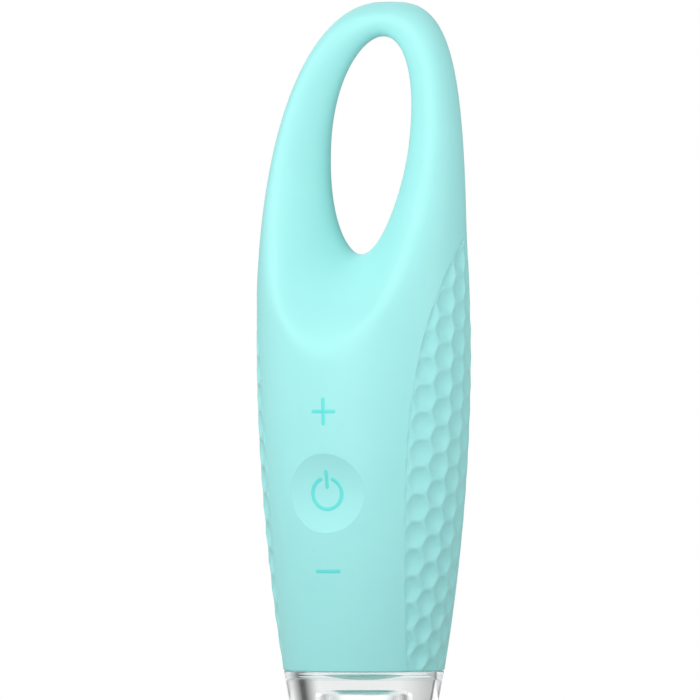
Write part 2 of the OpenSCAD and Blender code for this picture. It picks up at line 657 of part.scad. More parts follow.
module battery_tray() {
    r = cell_d / 2 + in_fit;
    color("lightsteelblue") difference() {
        union() {
            intersection() {
                translate([0, cell_y, tray_low]) cylinder(r = r + tray_t, h = tray_h, $fn = mesh_mid);
                box_between([-body_r, -body_r, 0], [body_r, cell_y + cell_d / 5, total_h]);
            }
            for (s = [-1, 1]) translate([s * (r - tray_leg), 0, 0]) {
                box_between([-tray_leg / 2, cell_y - r, casing_low], [tray_leg / 2, cell_y - r / 2, tray_low + 1]);
                for (z = [board_low + tray_leg, tray_low + tray_h - 2 * tray_leg])
                    box_between([-tray_leg / 2, board_back, z], [tray_leg / 2, cell_y - r / 2, z + tray_leg]);
            }
        }
        translate([0, cell_y, tray_low + tray_t]) cylinder(r = r, h = cell_h, $fn = mesh_mid);
        box_between([-tray_cut, -body_r, tray_low + tray_t], [tray_cut, cell_y, lead_z + 2 * lead_d]);
    }
}
module battery_tabs() {
    flange = cell_front + 0.2;
    color(steel_col) {
        box_between([-tab_w, cell_y - tab_w, cell_low + cell_h], [tab_w, cell_y + tab_w, cell_low + cell_h + tab_t]);
        box_between([-tab_w, flange, cell_low - tab_t], [tab_w, cell_y + tab_w, cell_low]);
        box_between([-tab_w, flange - tab_t, cell_low - tab_t], [tab_w, flange, lead_z + lead_d]);
    }
}
module battery_leads() {
    top = cell_low + cell_h + tab_t + lead_d / 2;
    color("red") {
        bar_y(0, top, lead_d, board_back, cell_y, 16);
        bar_y(0, lead_z, lead_d, board_back, cell_front + 0.2 - tab_t, 16);
    }
}
module motor_leads() {
    z = motor_low - end_t;
    drop = 1.4;
    color("navy") for (s = [-1, 1]) translate([s * lead_x, 0, 0]) {
        translate([0, -2, z - drop - lead_d / 2]) cylinder(d = lead_d, h = drop + lead_d / 2, $fn = 16);
        bar_y(0, z - drop, lead_d, board_back, -2, 16);
    }
}

// ---- charging socket ----
gasket_d = barrel_d + 1.2;
jack_y = radius(jack_z) - 0.5; // mouth of the socket, sunk in the skin
module charging_socket() {
    color("black") difference() {
        union() {
            bar_y(0, jack_z, barrel_d, jack_y - jack_depth - 1.5, jack_y);
            box_between([-0.63 * barrel_d, jack_y - 1.5 * jack_depth, casing_low],
                        [0.63 * barrel_d, jack_y - 0.65 * jack_depth, jack_z + 0.44 * barrel_d]);
        }
        bar_y(0, jack_z, jack_d, jack_y - jack_depth, body_r);
    }
}
module socket_gasket() {
    color("gray") difference() {
        bar_y(0, jack_z, gasket_d, radius(jack_z + gasket_d / 2, casing_w) + 0.02, jack_y);
        bar_y(0, jack_z, barrel_d + 0.02, 0, body_r);
    }
}

// ---- bottom cap and clear base ----
lip_r = radius(casing_low, casing_in) - in_fit;
seal_r = radius(base_h, casing_w) - 0.75;
seal_w = 1.2;
seal_t = 0.6;
base_top_r = skirt_d / 2 - 0.15;
function dome_z(r) = base_h - dome_h * (1 - pow(2 * r / dome_d, 2));
module dome_profile(gap) {
    rotate_extrude($fn = mesh_mid)
        polygon(concat([[0, base_h + 0.01]], [for (i = [0:6]) let(r = dome_d / 2 * i / 6) [r, dome_z(r) - gap]],
                       [[dome_d / 2, base_h + 0.01]]));
}
module bottom_cap() {
    color(skin_col) difference() {
        union() {
            translate([0, 0, base_h]) cylinder(r = radius(base_h, skin_t + in_fit), h = cap_t, $fn = mesh_fine);
            translate([0, 0, casing_low - 0.01]) cylinder(r = lip_r, h = cap_lip, $fn = mesh_fine);
            dome_profile(0);
        }
        translate([0, 0, casing_low]) cylinder(r = lip_r - 1.4, h = cap_lip + 1, $fn = mesh_mid);
        box_between([-barrel_d, 2, casing_low], [barrel_d, body_r, casing_low + cap_lip + 1]);
    }
}
module seal_ring(gap) {
    difference() {
        translate([0, 0, base_h - seal_t]) cylinder(r = seal_r + seal_w / 2 + gap, h = seal_t + gap, $fn = mesh_fine);
        translate([0, 0, base_h - 2]) cylinder(r = seal_r - seal_w / 2 - gap, h = 4, $fn = mesh_fine);
    }
}
module base_seal() {
    color("white") seal_ring(0);
}
module clear_base() {
    color(clear_col) difference() {
        rotate_extrude($fn = mesh_fine)
            polygon(concat([[0, 0]], [for (a = [-90:15:0]) [foot_d / 2 + foot_r * cos(a), foot_r + foot_r * sin(a)]],
                           [[base_top_r, base_h], [0, base_h]]));
        dome_profile(0.02);
        seal_ring(0.02);
        translate([0, 0, -1]) cylinder(d = hollow_d, h = base_h - web_t + 1, $fn = mesh_fine);
    }
}
module base_floor() {
    color(clear_col) cylinder(d = hollow_d - 0.02, h = floor_t, $fn = mesh_fine);
}

silicone_sleeve();
plus_key();
power_key();
minus_key();
plus_plunger();
power_plunger();
minus_plunger();
plus_switch_stem();
power_switch_stem();
minus_switch_stem();
switch_bodies();
circuit_board();
control_chips();
status_led();
casing_front();
casing_rear();
casing_screws();
loop_core();
heater_film();
temperature_sensor();
vibration_motor();
motor_boot();
motor_weight();
battery_cell();
battery_tray();
battery_tabs();
battery_leads();
motor_leads();
charging_socket();
socket_gasket();
bottom_cap();
base_seal();
clear_base();
base_floor();
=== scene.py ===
"""Looks of a heated eye massager wand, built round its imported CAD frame.

Sizes inside the classes are millimetres; meshes are written in metres.
Front (the keys) is -Y, +Z is up, and the body's axis is the Z axis.
"""

import json
import logging
import math
from dataclasses import dataclass
from enum import Enum
from typing import Any, Iterable, Sequence

import bmesh
import bpy
import numpy as np
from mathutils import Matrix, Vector

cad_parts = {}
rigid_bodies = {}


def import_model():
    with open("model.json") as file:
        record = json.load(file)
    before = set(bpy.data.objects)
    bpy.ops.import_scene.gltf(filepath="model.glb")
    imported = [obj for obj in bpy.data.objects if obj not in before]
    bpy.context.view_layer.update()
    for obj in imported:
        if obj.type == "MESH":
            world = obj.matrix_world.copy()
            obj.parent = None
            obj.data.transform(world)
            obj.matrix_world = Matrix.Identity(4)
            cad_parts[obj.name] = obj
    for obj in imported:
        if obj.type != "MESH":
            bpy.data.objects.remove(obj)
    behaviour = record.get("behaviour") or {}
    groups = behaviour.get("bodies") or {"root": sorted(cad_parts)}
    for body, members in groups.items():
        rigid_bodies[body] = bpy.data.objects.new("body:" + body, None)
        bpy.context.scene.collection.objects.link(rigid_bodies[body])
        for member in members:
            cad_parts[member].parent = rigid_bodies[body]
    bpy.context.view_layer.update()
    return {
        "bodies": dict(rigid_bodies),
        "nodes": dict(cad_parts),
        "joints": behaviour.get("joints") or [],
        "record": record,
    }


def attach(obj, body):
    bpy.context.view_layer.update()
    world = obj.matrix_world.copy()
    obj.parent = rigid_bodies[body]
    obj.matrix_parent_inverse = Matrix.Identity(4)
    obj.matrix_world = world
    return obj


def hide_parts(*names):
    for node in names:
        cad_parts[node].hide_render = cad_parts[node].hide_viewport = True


LOG = logging.getLogger("wand")
MM = 0.001
TINY = 1e-9
WHITE = (1.0, 1.0, 1.0, 1.0)
Array = np.ndarray
Piece = bpy.types.Object
Material = bpy.types.Material
Node = bpy.types.Node
Output = tuple[Node, str | int]
Settings = dict[str | int, Any] | None
Links = dict[str | int, Output] | None


# ---- meshes ----


@dataclass
class Patch:
    """A piece of surface: points in millimetres and its faces."""

    points: Array
    faces: Array

    def flipped(self) -> "Patch":
        """The same surface with its faces turned over."""
        return Patch(self.points, self.faces[:, ::-1])

    def facing(self, centre: Sequence[float]) -> "Patch":
        """Turn the faces so that, on the whole, they look away from a point.

        Args:
            centre: the point in millimetres.

        Returns:
            The patch, flipped where needed.
        """
        p = self.points[self.faces]
        normal = np.cross(p[:, 2] - p[:, 0], p[:, 3] - p[:, 1])
        away = (normal * (p.mean(1) - np.asarray(centre))).sum()
        return self if away > 0 else self.flipped()


def grid_faces(rows: int, cols: int, wrap_rows: bool = False, wrap_cols: bool = False) -> Array:
    """Quads of a grid of points stored row by row.

    Args:
        rows: number of rows.
        cols: number of points in a row.
        wrap_rows: join the last row to the first.
        wrap_cols: join the last column to the first.

    Returns:
        Integer array with four corners a row.
    """
    i = np.arange(rows if wrap_rows else rows - 1)[:, None]
    j = np.arange(cols if wrap_cols else cols - 1)[None, :]
    i2, j2 = (i + 1) % rows, (j + 1) % cols
    quads = np.stack([i * cols + j, i * cols + j2, i2 * cols + j2, i2 * cols + j], -1)
    return quads.reshape(-1, 4)


def grid_patch(points: Array, wrap_rows: bool = False, wrap_cols: bool = False) -> Patch:
    """A patch from a (rows, cols, 3) array of points.

    Args:
        points: the grid in millimetres.
        wrap_rows: the rows close on themselves.
        wrap_cols: the columns close on themselves.

    Returns:
        The patch.
    """
    rows, cols = points.shape[:2]
    return Patch(points.reshape(-1, 3), grid_faces(rows, cols, wrap_rows, wrap_cols))


def joined(patches: Iterable[Patch]) -> Patch:
    """Several patches as one, their points not yet merged.

    Args:
        patches: the patches.

    Returns:
        One patch with all their points and faces.
    """
    points, faces, count = [], [], 0
    for patch in patches:
        points.append(patch.points)
        faces.append(patch.faces + count)
        count += len(patch.points)
    return Patch(np.concatenate(points), np.concatenate(faces))


def revolved(profile: Array, count: int, axis: str = "z", centre: Sequence[float] = (0, 0, 0)) -> Patch:
    """Surface of revolution: a profile of (radius, height) carried round an axis.

    A point at turn a is (r cos a, r sin a, h) about Z, or (r cos a, h, r sin a) about Y.

    Args:
        profile: (n, 2) radii and heights in millimetres.
        count: steps round the axis.
        axis: "z" or "y".
        centre: a point of the axis.

    Returns:
        The patch.
    """
    turn = np.linspace(0, 2 * np.pi, count, endpoint=False)[None, :]
    r, h = profile[:, 0][:, None], profile[:, 1][:, None]
    across, along = r * np.cos(turn), r * np.sin(turn)
    height = np.broadcast_to(h, across.shape)
    order = (across, along, height) if axis == "z" else (across, height, along)
    return grid_patch(np.stack(order, -1) + np.asarray(centre, float), wrap_cols=True)


def at_height(points: Array, height: float) -> Array:
    """The same points with another height."""
    return np.concatenate([points[:, :2], np.full((len(points), 1), height)], 1)


def rounded_profile(corners: Sequence[tuple[float, float, float]], steps: int = 6) -> Array:
    """Polyline with rounded corners.

    Each inner corner (r, h, f) is replaced by a quadratic arc that starts and ends a
    distance f away from the corner along its two sides, or just under half a side where
    that is less.

    Args:
        corners: radius, height and rounding of each corner in millimetres.
        steps: points on an arc.

    Returns:
        (n, 2) array of radii and heights.
    """
    c = np.array(corners, float)
    out = [c[0, :2]]
    for before, here, after in zip(c[:-2], c[1:-1], c[2:]):
        a, b = before[:2] - here[:2], after[:2] - here[:2]
        la, lb = np.hypot(*a), np.hypot(*b)
        f = min(here[2], 0.49 * la, 0.49 * lb)
        if f <= 0:
            out.append(here[:2])
            continue
        s = np.linspace(0, 1, steps)[:, None]
        start, end = here[:2] + a / la * f, here[:2] + b / lb * f
        out.extend((1 - s) ** 2 * start + 2 * s * (1 - s) * here[:2] + s**2 * end)
    out.append(c[-1, :2])
    return np.array(out)


def make_piece(name: str, patch: Patch, weld: float = 0.002, sharp: float = 38.0) -> Piece:
    """Turn a patch into a smooth-shaded Blender object at the origin.

    Args:
        name: name of the piece.
        patch: its surface in millimetres.
        weld: points closer than this, in millimetres, become one.
        sharp: edges that turn by more than this many degrees stay crisp.

    Returns:
        The object, linked to the scene.
    """
    mesh = bpy.data.meshes.new(name)
    mesh.from_pydata(patch.points * MM, [], patch.faces.tolist())
    work = bmesh.new()
    work.from_mesh(mesh)
    bmesh.ops.remove_doubles(work, verts=work.verts, dist=weld * MM)
    bmesh.ops.dissolve_degenerate(work, edges=work.edges, dist=weld * MM * 0.1)
    work.to_mesh(mesh)
    work.free()
    mesh.validate()
    mesh.polygons.foreach_set("use_smooth", np.ones(len(mesh.polygons), bool))
    mesh.set_sharp_from_angle(angle=math.radians(sharp))
    mesh.update()
    obj = bpy.data.objects.new(name, mesh)
    bpy.context.scene.collection.objects.link(obj)
    return obj


# ---- form ----


def ease(t: Array) -> Array:
    """Smooth step from 0 to 1, flat at both ends."""
    c = np.clip(t, 0, 1)
    return c * c * (3 - 2 * c)


def round_join(a: Array, b: Array, q: Array) -> Array:
    """Lesser of two depths with a rounded corner: (a^(-1/q) + b^(-1/q))^(-q)."""
    low = np.maximum(np.minimum(a, b), 0)
    high = np.maximum(np.maximum(a, b), TINY)
    return low * (1 + (low / high) ** (1 / q)) ** -q


@dataclass(frozen=True)
class WandForm:
    """The wand's outside as formulas.

    Throughout, x is across, z is up, w is a depth under the skin's face and front tells
    the front face from the back one.
    """

    total_h: float = 140.0
    body_r: float = 19.8
    widest_z: float = 77.5
    skirt_r: float = 14.85
    base_h: float = 16.8
    hole_a: float = 8.0
    hole_b: float = 20.1
    hole_z: float = 113.4
    hole_egg: float = 0.1
    loop_sweep: float = 12.5
    loop_front: float = 16.2
    loop_back: float = 12.9
    rim_r: float = 3.5
    dish_slope: float = 0.9
    crease: float = 0.04
    crease_top: float = 0.3
    saddle: float = 1.5
    outline_n: float = 2.67
    sweep_n: float = 2.7
    join_z: float = 70.0
    blend_front: float = 0.7
    blend_back: float = 0.36
    back_flare: float = 1.09
    crease_back: float = 0.12
    crease_least: float = 0.005
    crease_from: float = 2.0
    crease_rise: float = 26.0
    join_fade: float = 6.0
    saddle_rise: float = 12.0
    rim_thinning: float = 0.3
    slope_fade: float = 0.4

    @property
    def hole_low(self) -> float:
        """Height of the lowest point of the hole."""
        return self.hole_z - self.hole_b

    def radius(self, z: Array, w: float = 0.0) -> Array:
        """Body radius: widest radius less w, less a square law of the height below the widest."""
        taper = (self.body_r - self.skirt_r) / (self.widest_z - self.base_h) ** 2
        return self.body_r - w - taper * np.maximum(self.widest_z - z, 0) ** 2

    def up(self, z: Array, w: float = 0.0) -> Array:
        """Share of the way from the widest height to the tip."""
        return np.clip((z - self.widest_z) / (self.total_h - self.widest_z - w), 0, 1)

    def lean(self, z: Array) -> Array:
        """Setback of the loop's centre line: a power of the share of height."""
        return self.loop_sweep * self.up(z) ** self.sweep_n

    def half_width(self, z: Array, w: float = 0.0) -> Array:
        """Half-width of the superellipse outline at a height."""
        n = self.outline_n
        return self.radius(z, w) * (1 - self.up(z, w) ** n) ** (1 / n)

    def share_out(self, x: Array, z: Array, w: float) -> Array:
        """Superellipse norm of a point, 1 on the outline."""
        n = self.outline_n
        a = np.abs(x) / self.radius(z, w)
        return np.minimum(1, (a**n + self.up(z, w) ** n) ** (1 / n))

    def rim_dist(self, x: Array, z: Array, w: float) -> Array:
        """Distance from the hole's egg-shaped edge, by four steps along the ellipse's evolute.

        Args:
            x: across, millimetres.
            z: up, millimetres.
            w: depth under the skin.

        Returns:
            Millimetres outside the edge, 0 within it.
        """
        a, b = self.hole_a + w, self.hole_b + w
        egg = 1 + self.hole_egg * np.clip((z - self.hole_z) / b, -1, 1)
        px, py = np.abs(x) / egg, np.abs(z - self.hole_z)
        tx = np.full(np.shape(px), 0.7)
        ty = tx.copy()
        for _ in range(4):
            ex, ey = (a * a - b * b) * tx**3 / a, (b * b - a * a) * ty**3 / b
            reach = np.hypot(a * tx - ex, b * ty - ey)
            q = np.hypot(px - ex, py - ey) + TINY
            tx = np.clip(((px - ex) * reach / q + ex) / a, 0, 1)
            ty = np.clip(((py - ey) * reach / q + ey) / b, 0, 1)
            t = np.hypot(tx, ty) + TINY
            tx, ty = tx / t, ty / t
        d = np.hypot(a * tx - px, b * ty - py)
        return np.where((px / a) ** 2 + (py / b) ** 2 <= 1, 0, d)

    def rim_depth(self, d: Array, z: Array, w: float) -> Array:
        """Depth of the rounded rim and the dish, sqrt(2 r d + (slope d)^2), flatter up the hole."""
        v = np.clip((z - self.hole_low) / (2 * self.hole_b), 0, 1)
        r, slope = self.rim_r * (1 - self.rim_thinning * v) - w, self.dish_slope - self.slope_fade * v
        return np.sqrt(2 * r * d + (slope * d) ** 2)

    def lift(self, z: Array) -> Array:
        """How far the rim stands in front of the lean, under the hole."""
        rise = ease((z - self.join_z) / self.saddle_rise)
        return self.saddle * ease((self.hole_z - z) / self.hole_b) * rise

    def half_depth(self, z: Array, w: float, top: float, span: float) -> Array:
        """Depth of the hull: from the body's radius to the loop's own depth."""
        r = self.radius(z, w)
        return r + (top - w - r) * ease(self.up(z) / span)

    def hull_and_dish(self, x: Array, z: Array, w: float, front: bool) -> tuple[Array, Array]:
        """Depths of the two surfaces that meet in the crease.

        Args:
            x: across, millimetres.
            z: up, millimetres.
            w: depth under the skin.
            front: front or back of the wand.

        Returns:
            Hull and dish, from the lean in front and from the rim's line at the back.
        """
        dish = self.rim_depth(self.rim_dist(x, z, w), z, w)
        bulge = np.sqrt(np.maximum(1 - self.share_out(x, z, w) ** 2, 0))
        lift = self.lift(z)
        if front:
            return self.half_depth(z, w, self.loop_front, self.blend_front) * bulge, dish + lift
        return self.half_depth(z, w, self.loop_back, self.blend_back) * bulge + lift, self.back_flare * dish

    def y_at(self, x: Array, z: Array, w: float, front: bool) -> Array:
        """Front or back face: the lesser depth, its corner rounder and rounder up the loop.

        Args:
            x: across, millimetres.
            z: up, millimetres.
            w: depth under the skin.
            front: front or back face.

        Returns:
            The face's y.
        """
        low = self.crease if front else self.crease_back
        rise = ease((z - self.widest_z - self.crease_from) / self.crease_rise)
        q = (low + (self.crease_top - low) * rise) * ease((z - self.join_z) / self.join_fade)
        depth = round_join(*self.hull_and_dish(x, z, w, front), np.maximum(q, self.crease_least))
        return self.lean(z) - depth if front else self.lean(z) - self.lift(z) + depth

    def side_point(self, turn: Array, z: Array, w: float = 0.0) -> Array:
        """Point of the skin at a turn from the front (degrees) and a height.

        The width is the outline's half-width times the sine of the turn, and the depth
        is the front face's up to 90 degrees and the back face's beyond.

        Args:
            turn: degrees from the front, 0 to 180 on the +X side.
            z: height.
            w: depth under the skin.

        Returns:
            (..., 3) points in millimetres.
        """
        x = self.half_width(z, w) * np.sin(np.radians(turn))
        y = np.where(np.cos(np.radians(turn)) >= 0, self.y_at(x, z, w, True), self.y_at(x, z, w, False))
        return np.stack([x, y, z + 0 * x], -1)

    def turn_of(self, x: Array, z: Array, front: bool) -> Array:
        """Turn from the front of a point of the skin, the inverse of side_point."""
        t = np.degrees(np.arcsin(np.clip(np.abs(x) / np.maximum(self.half_width(z), 1e-6), 0, 1)))
        return t if front else 180 - t


@dataclass(frozen=True)
class GripPattern:
    """Honeycomb of rounded hollows in a leaf-shaped panel on each side."""

    form: WandForm
    pitch: float = 5.0
    ridge: float = 0.62
    depth: float = 0.62
    half: float = 44.0
    top: float = 96.0
    mid: float = 51.0
    first: float = 55.0
    slant: float = 0.115
    row_z: float = 72.0
    sunk: float = 0.1
    step: float = 0.3
    low_span: float = 60.0
    bow: tuple[float, float] = (2.4, 2.0)
    blunt: tuple[float, float] = (0.72, 0.5)
    top_fall: float = 0.8
    rim_share: float = 0.15
    soft: float = 3.2
    head_start: float = 0.16

    @property
    def column_turn(self) -> float:
        """Degrees from one column of hollows to the next."""
        r = float(self.form.radius(np.array(self.mid)))
        return math.degrees(math.asin(self.pitch * math.cos(math.radians(30)) / r))

    def reach(self, z: Array) -> Array:
        """Half-width of the panel in degrees: half (1 - v^bow)^blunt, v the share of its height.

        Args:
            z: height; the first of each pair of powers holds above the widest height.

        Returns:
            Degrees to each side of the middle.
        """
        high = z > self.mid
        v = np.abs(z - self.mid) / np.where(high, self.top - self.mid, self.low_span)
        return self.half * np.maximum(0, 1 - v ** np.where(high, *self.bow)) ** np.where(high, *self.blunt)

    def inside(self, turn: Array, z: Array) -> Array:
        """Distance in millimetres inside the panel's edge, to first order.

        Args:
            turn: degrees from the front.
            z: height.

        Returns:
            The distance, negative outside.
        """
        size = np.radians(1.0) * self.form.radius(z)
        h = 0.05
        slope = (self.reach(z + h) - self.reach(z - h)) / (2 * h)
        gap = self.reach(z) - np.abs(turn - 90)
        dist = gap * size / np.sqrt(1 + (slope * size) ** 2)
        return np.minimum(dist, (self.top - z) * self.top_fall)

    def hollow(self, turn: Array, z: Array) -> Array:
        """Depth of the honeycomb under the skin's face.

        The cells are the regions nearest to each point of a slanted lattice. The depth
        is a round dish of the distance inside the nearest cell edge or panel edge.

        Args:
            turn: degrees from the front.
            z: height.

        Returns:
            Depth in millimetres.
        """
        size = np.radians(1.0) * self.form.radius(z)
        step = self.column_turn
        place = (turn - self.first - self.slant * (z - self.mid)) / step
        base = np.round(place)
        centres = []
        for dc in (-1, 0, 1):
            c = base + dc
            z0 = self.row_z + np.mod(c, 2) * self.pitch / 2
            row = np.round((z - z0) / self.pitch)
            for dr in (-1, 0, 1):
                cz = z0 + (row + dr) * self.pitch
                ct = self.first + self.slant * (cz - self.mid) + step * c
                centres.append(((turn - ct) * size, z - cz))
        u, v = (np.stack(part) for part in zip(*centres))
        dist2 = u * u + v * v
        near = dist2.argmin(0)[None]
        near_u, near_v, near_2 = (np.take_along_axis(part, near, 0) for part in (u, v, dist2))
        span = np.hypot(u - near_u, v - near_v)
        least, far = 1e-3, 9.0
        edge = np.where(span > least, (dist2 - near_2) / (2 * np.maximum(span, least)), far) - self.ridge / 2
        rim = self.inside(turn, z)[None] - self.rim_share * self.ridge
        nearest = -np.log(np.exp(-self.soft * np.concatenate([edge, rim])).sum(0)) / self.soft
        t = np.clip((nearest + self.head_start) / ((self.pitch - self.ridge) / 2), 0, 1)
        dish = self.depth * (1 - (1 - t) ** 2)
        return dish + self.sunk * ease(self.inside(turn, z) / self.step)


# ---- skin ----


@dataclass
class KeyPlace:
    """Where a key sits and how it is shaped."""

    name: str
    z: float
    diameter: float
    dish: float = 0.0

    @property
    def r(self) -> float:
        """Radius of the key."""
        return self.diameter / 2


@dataclass
class SiliconeSkin:
    """The one-piece soft skin: body, loop and both grip panels."""

    form: WandForm
    grip: GripPattern
    keys: list[KeyPlace]
    thick: float = 1.5
    hole_clear: float = 0.012
    strip: float = 28.0
    turn_step: float = 2.0
    row_step: float = 0.7
    tip_columns: int = 150
    side_columns: int = 12
    edge_r: float = 0.35
    pocket: float = 1.15
    jack_z: float = 22.4
    jack_r: float = 3.4
    blocks: tuple[float, ...] = (17.15, 18.0, 27.0, 29.2, 41.0, 58.2, 70.0)
    jack_block: int = 1
    lowest_key_block: int = 3
    rings: tuple[int, int] = (24, 8)
    hole_rings: int = 9
    hole_crowding: float = 1.2
    pocket_edge: tuple[float, float] = (0.1, 0.8)
    hem_points: int = 6
    hem_steps: tuple[float, ...] = (0.1, 0.35, 0.7)
    hem_sinks: tuple[float, float] = (1.4, 0.8)
    grip_grid: tuple[int, int] = (199, 396)
    grip_margin: float = 2.2
    grip_over: float = 1.76
    grip_lift: float = 0.02
    grip_dive: float = 0.05
    dive_edge: tuple[float, float] = (0.5, 1.6)

    def half_outline(self, w: float) -> tuple[Array, Array]:
        """Outline from the tip down one side and in along the joint plane.

        Args:
            w: depth under the skin.

        Returns:
            x and z of the half outline's points.
        """
        f = self.form
        a = np.radians(np.linspace(0, 90, self.tip_columns + 1))
        power = 2 / f.outline_n
        x = [(f.body_r - w) * np.sin(a) ** power]
        z = [f.widest_z + (f.total_h - w - f.widest_z) * np.maximum(np.cos(a), 0) ** power]
        side = np.linspace(f.widest_z, f.join_z, self.side_columns + 1)[1:]
        x.append(f.radius(side, w))
        z.append(side)
        turn = np.radians(np.arange(90 - self.turn_step, -1e-6, -self.turn_step))
        x.append(f.radius(np.array(f.join_z), w) * np.sin(turn))
        z.append(np.full(len(turn), f.join_z))
        return np.concatenate(x), np.concatenate(z)

    def crease_share(self, p: Array, q: Array, w: float, front: bool) -> Array:
        """Share of the way from the rim to the outline at which dish and hull meet.

        It is found for each column by a scan and a bisection.

        Args:
            p: outline points (n, 2).
            q: rim points (n, 2).
            w: depth under the skin.
            front: front or back face.

        Returns:
            The share for each column.
        """
        def in_dish(t: Array) -> Array:
            """Whether the dish is the nearer surface at a share of the way."""
            c = q[:, None] + (p - q)[:, None] * t[..., None]
            hull, dish = self.form.hull_and_dish(c[..., 0], c[..., 1], w, front)
            return dish < hull

        scan = np.linspace(0.01, 1, 60)
        outside = ~in_dish(np.broadcast_to(scan, (len(p), len(scan))))
        first = np.where(outside.any(1), outside.argmax(1), len(scan) - 1)
        high = scan[first]
        low = scan[np.maximum(first - 1, 0)]
        for _ in range(20):
            mid = (low + high) / 2
            inside = in_dish(mid[:, None])[:, 0]
            low, high = np.where(inside, mid, low), np.where(inside, high, mid)
        return (low + high) / 2

    def upper(self, w: float, rings: int) -> list[Patch]:
        """Front and back of everything above the joint plane, as rings round the hole.

        A column runs from the rim to the outline; its points crowd together at the rim,
        the crease and the outline by a half cosine on each side of the crease.

        Args:
            w: depth under the skin.
            rings: rings on each side of the crease.

        Returns:
            Two patches.
        """
        f = self.form
        hx, hz = self.half_outline(w)
        x = np.concatenate([hx, -hx[-2:0:-1]])
        z = np.concatenate([hz, hz[-2:0:-1]])
        turn = np.arctan2(x, (z - f.hole_z) / 2)
        qx = (f.hole_a + w) * (1 + f.hole_egg * np.cos(turn)) * np.sin(turn)
        q = np.stack([qx, f.hole_z + (f.hole_b + w) * np.cos(turn)], -1)
        p = np.stack([x, z], -1)
        half = (1 - np.cos(np.linspace(0, np.pi, rings + 1))) / 2
        out = []
        for front in (True, False):
            c = self.crease_share(p, q, w, front)[:, None]
            t = np.concatenate([c * half, c + (1 - c) * half[1:]], 1)
            xz = q[:, None] + (p - q)[:, None] * t[..., None]
            xs, zs = xz[..., 0], xz[..., 1]
            points = np.stack([xs, f.y_at(xs, zs, w, front), zs], -1)
            if w == 0:
                points = self.pocketed(points, f.turn_of(xs, zs, front))
            centre = (0, 4.0 if front else 8.0, 100.0)
            out.append(grid_patch(points, wrap_rows=True).facing(centre))
        return out

    def pocketed(self, points: Array, turn: Array) -> Array:
        """Sink the skin under a grip panel, to make room for the panel's own surface.

        Args:
            points: points of the skin's face.
            turn: their degrees from the front.

        Returns:
            The points moved in towards the lean line, by a depth eased in past the edge.
        """
        start, fade = self.pocket_edge
        depth = self.pocket * ease((self.grip.inside(turn, points[..., 2]) - start) / fade)
        centre = np.stack([0 * turn, self.form.lean(points[..., 2])], -1)
        away = points[..., :2] - centre
        away /= np.maximum(np.linalg.norm(away, axis=-1, keepdims=True), TINY)
        out = points.copy()
        out[..., :2] -= away * depth[..., None]
        return out

    def body_points(self, turn: Array, z: Array, w: float) -> Array:
        """Points of the round body, pocketed where they are on the skin's face.

        Args:
            turn: degrees from the front, all the way round.
            z: heights.
            w: depth under the skin.

        Returns:
            (..., 3) points.
        """
        r = self.form.radius(z, w)
        a = np.radians(turn)
        points = np.stack([r * np.sin(a), -r * np.cos(a), z + 0 * a], -1)
        if w > 0:
            return points
        return self.pocketed(points, np.degrees(np.arccos(np.clip(np.cos(a), -1, 1))))

    def columns(self, low: float, high: float) -> Array:
        """Turns of the grid columns from one turn to another."""
        return np.arange(low, high + 1e-6, self.turn_step)

    def rows(self, low: float, high: float) -> Array:
        """Heights of the grid rows of one block."""
        return np.linspace(low, high, max(1, round((high - low) / self.row_step)) + 1)

    def holed_block(self, low: float, high: float, back: bool, z: float, r: float,
                    w: float) -> tuple[Patch, Array]:
        """Block of the front or back strip with a round hole.

        Each point of the block's border is joined to the point of the hole's edge that
        lies in the same direction from its centre, by rings in between.

        Args:
            low: bottom of the block.
            high: top of the block.
            back: on the back of the body.
            z: height of the hole's centre.
            r: its radius.
            w: depth under the skin.

        Returns:
            The patch and the ring of points on the hole's edge.
        """
        mid = 180.0 if back else 0.0
        turns = self.columns(mid - self.strip, mid + self.strip)
        zs = self.rows(low, high)
        border_t, border_z = (
            np.concatenate([grid[0], grid[1:, -1], grid[-1, -2::-1], grid[-2:0:-1, 0]])
            for grid in np.meshgrid(turns, zs))
        bx = self.form.radius(border_z, w) * np.sin(np.radians(border_t))
        angle = np.arctan2(border_z - z, bx)
        ring = np.stack([r * np.cos(angle), z + r * np.sin(angle)], -1)
        border = np.stack([bx, border_z], -1)
        s = np.linspace(0, 1, self.hole_rings)[:, None, None] ** self.hole_crowding
        xz = ring + (border - ring) * s
        sign = 1.0 if back else -1.0
        y = sign * np.sqrt(self.form.radius(xz[..., 1], w) ** 2 - xz[..., 0] ** 2)
        points = np.stack([xz[..., 0], y, xz[..., 1]], -1)
        return grid_patch(points, wrap_cols=True).facing((0, 0, z)), points[0]

    def lower(self, w: float) -> tuple[list[Patch], list[Array]]:
        """The round body below the joint plane, in blocks, with its four holes.

        Args:
            w: depth under the skin.

        Returns:
            The patches, and the edge ring of each hole.
        """
        holes = {(False, self.lowest_key_block + i): (key.z, key.r + self.hole_clear)
                 for i, key in enumerate(reversed(self.keys))}
        holes[True, self.jack_block] = (self.jack_z, self.jack_r)
        patches, rings = [], []
        sides = [self.columns(self.strip, 180 - self.strip), self.columns(180 + self.strip, 360 - self.strip)]
        for index, (low, high) in enumerate(zip(self.blocks[:-1], self.blocks[1:])):
            strips = list(sides)
            for back, mid in ((False, 0.0), (True, 180.0)):
                if (back, index) in holes:
                    patch, ring = self.holed_block(low, high, back, *holes[back, index], w)
                    patches.append(patch)
                    rings.append(ring)
                else:
                    strips.append(self.columns(mid - self.strip, mid + self.strip))
            for turns in strips:
                grid = self.body_points(*np.meshgrid(turns, self.rows(low, high)), w)
                patches.append(grid_patch(grid).facing((0, 0, (low + high) / 2)))
        return patches, rings

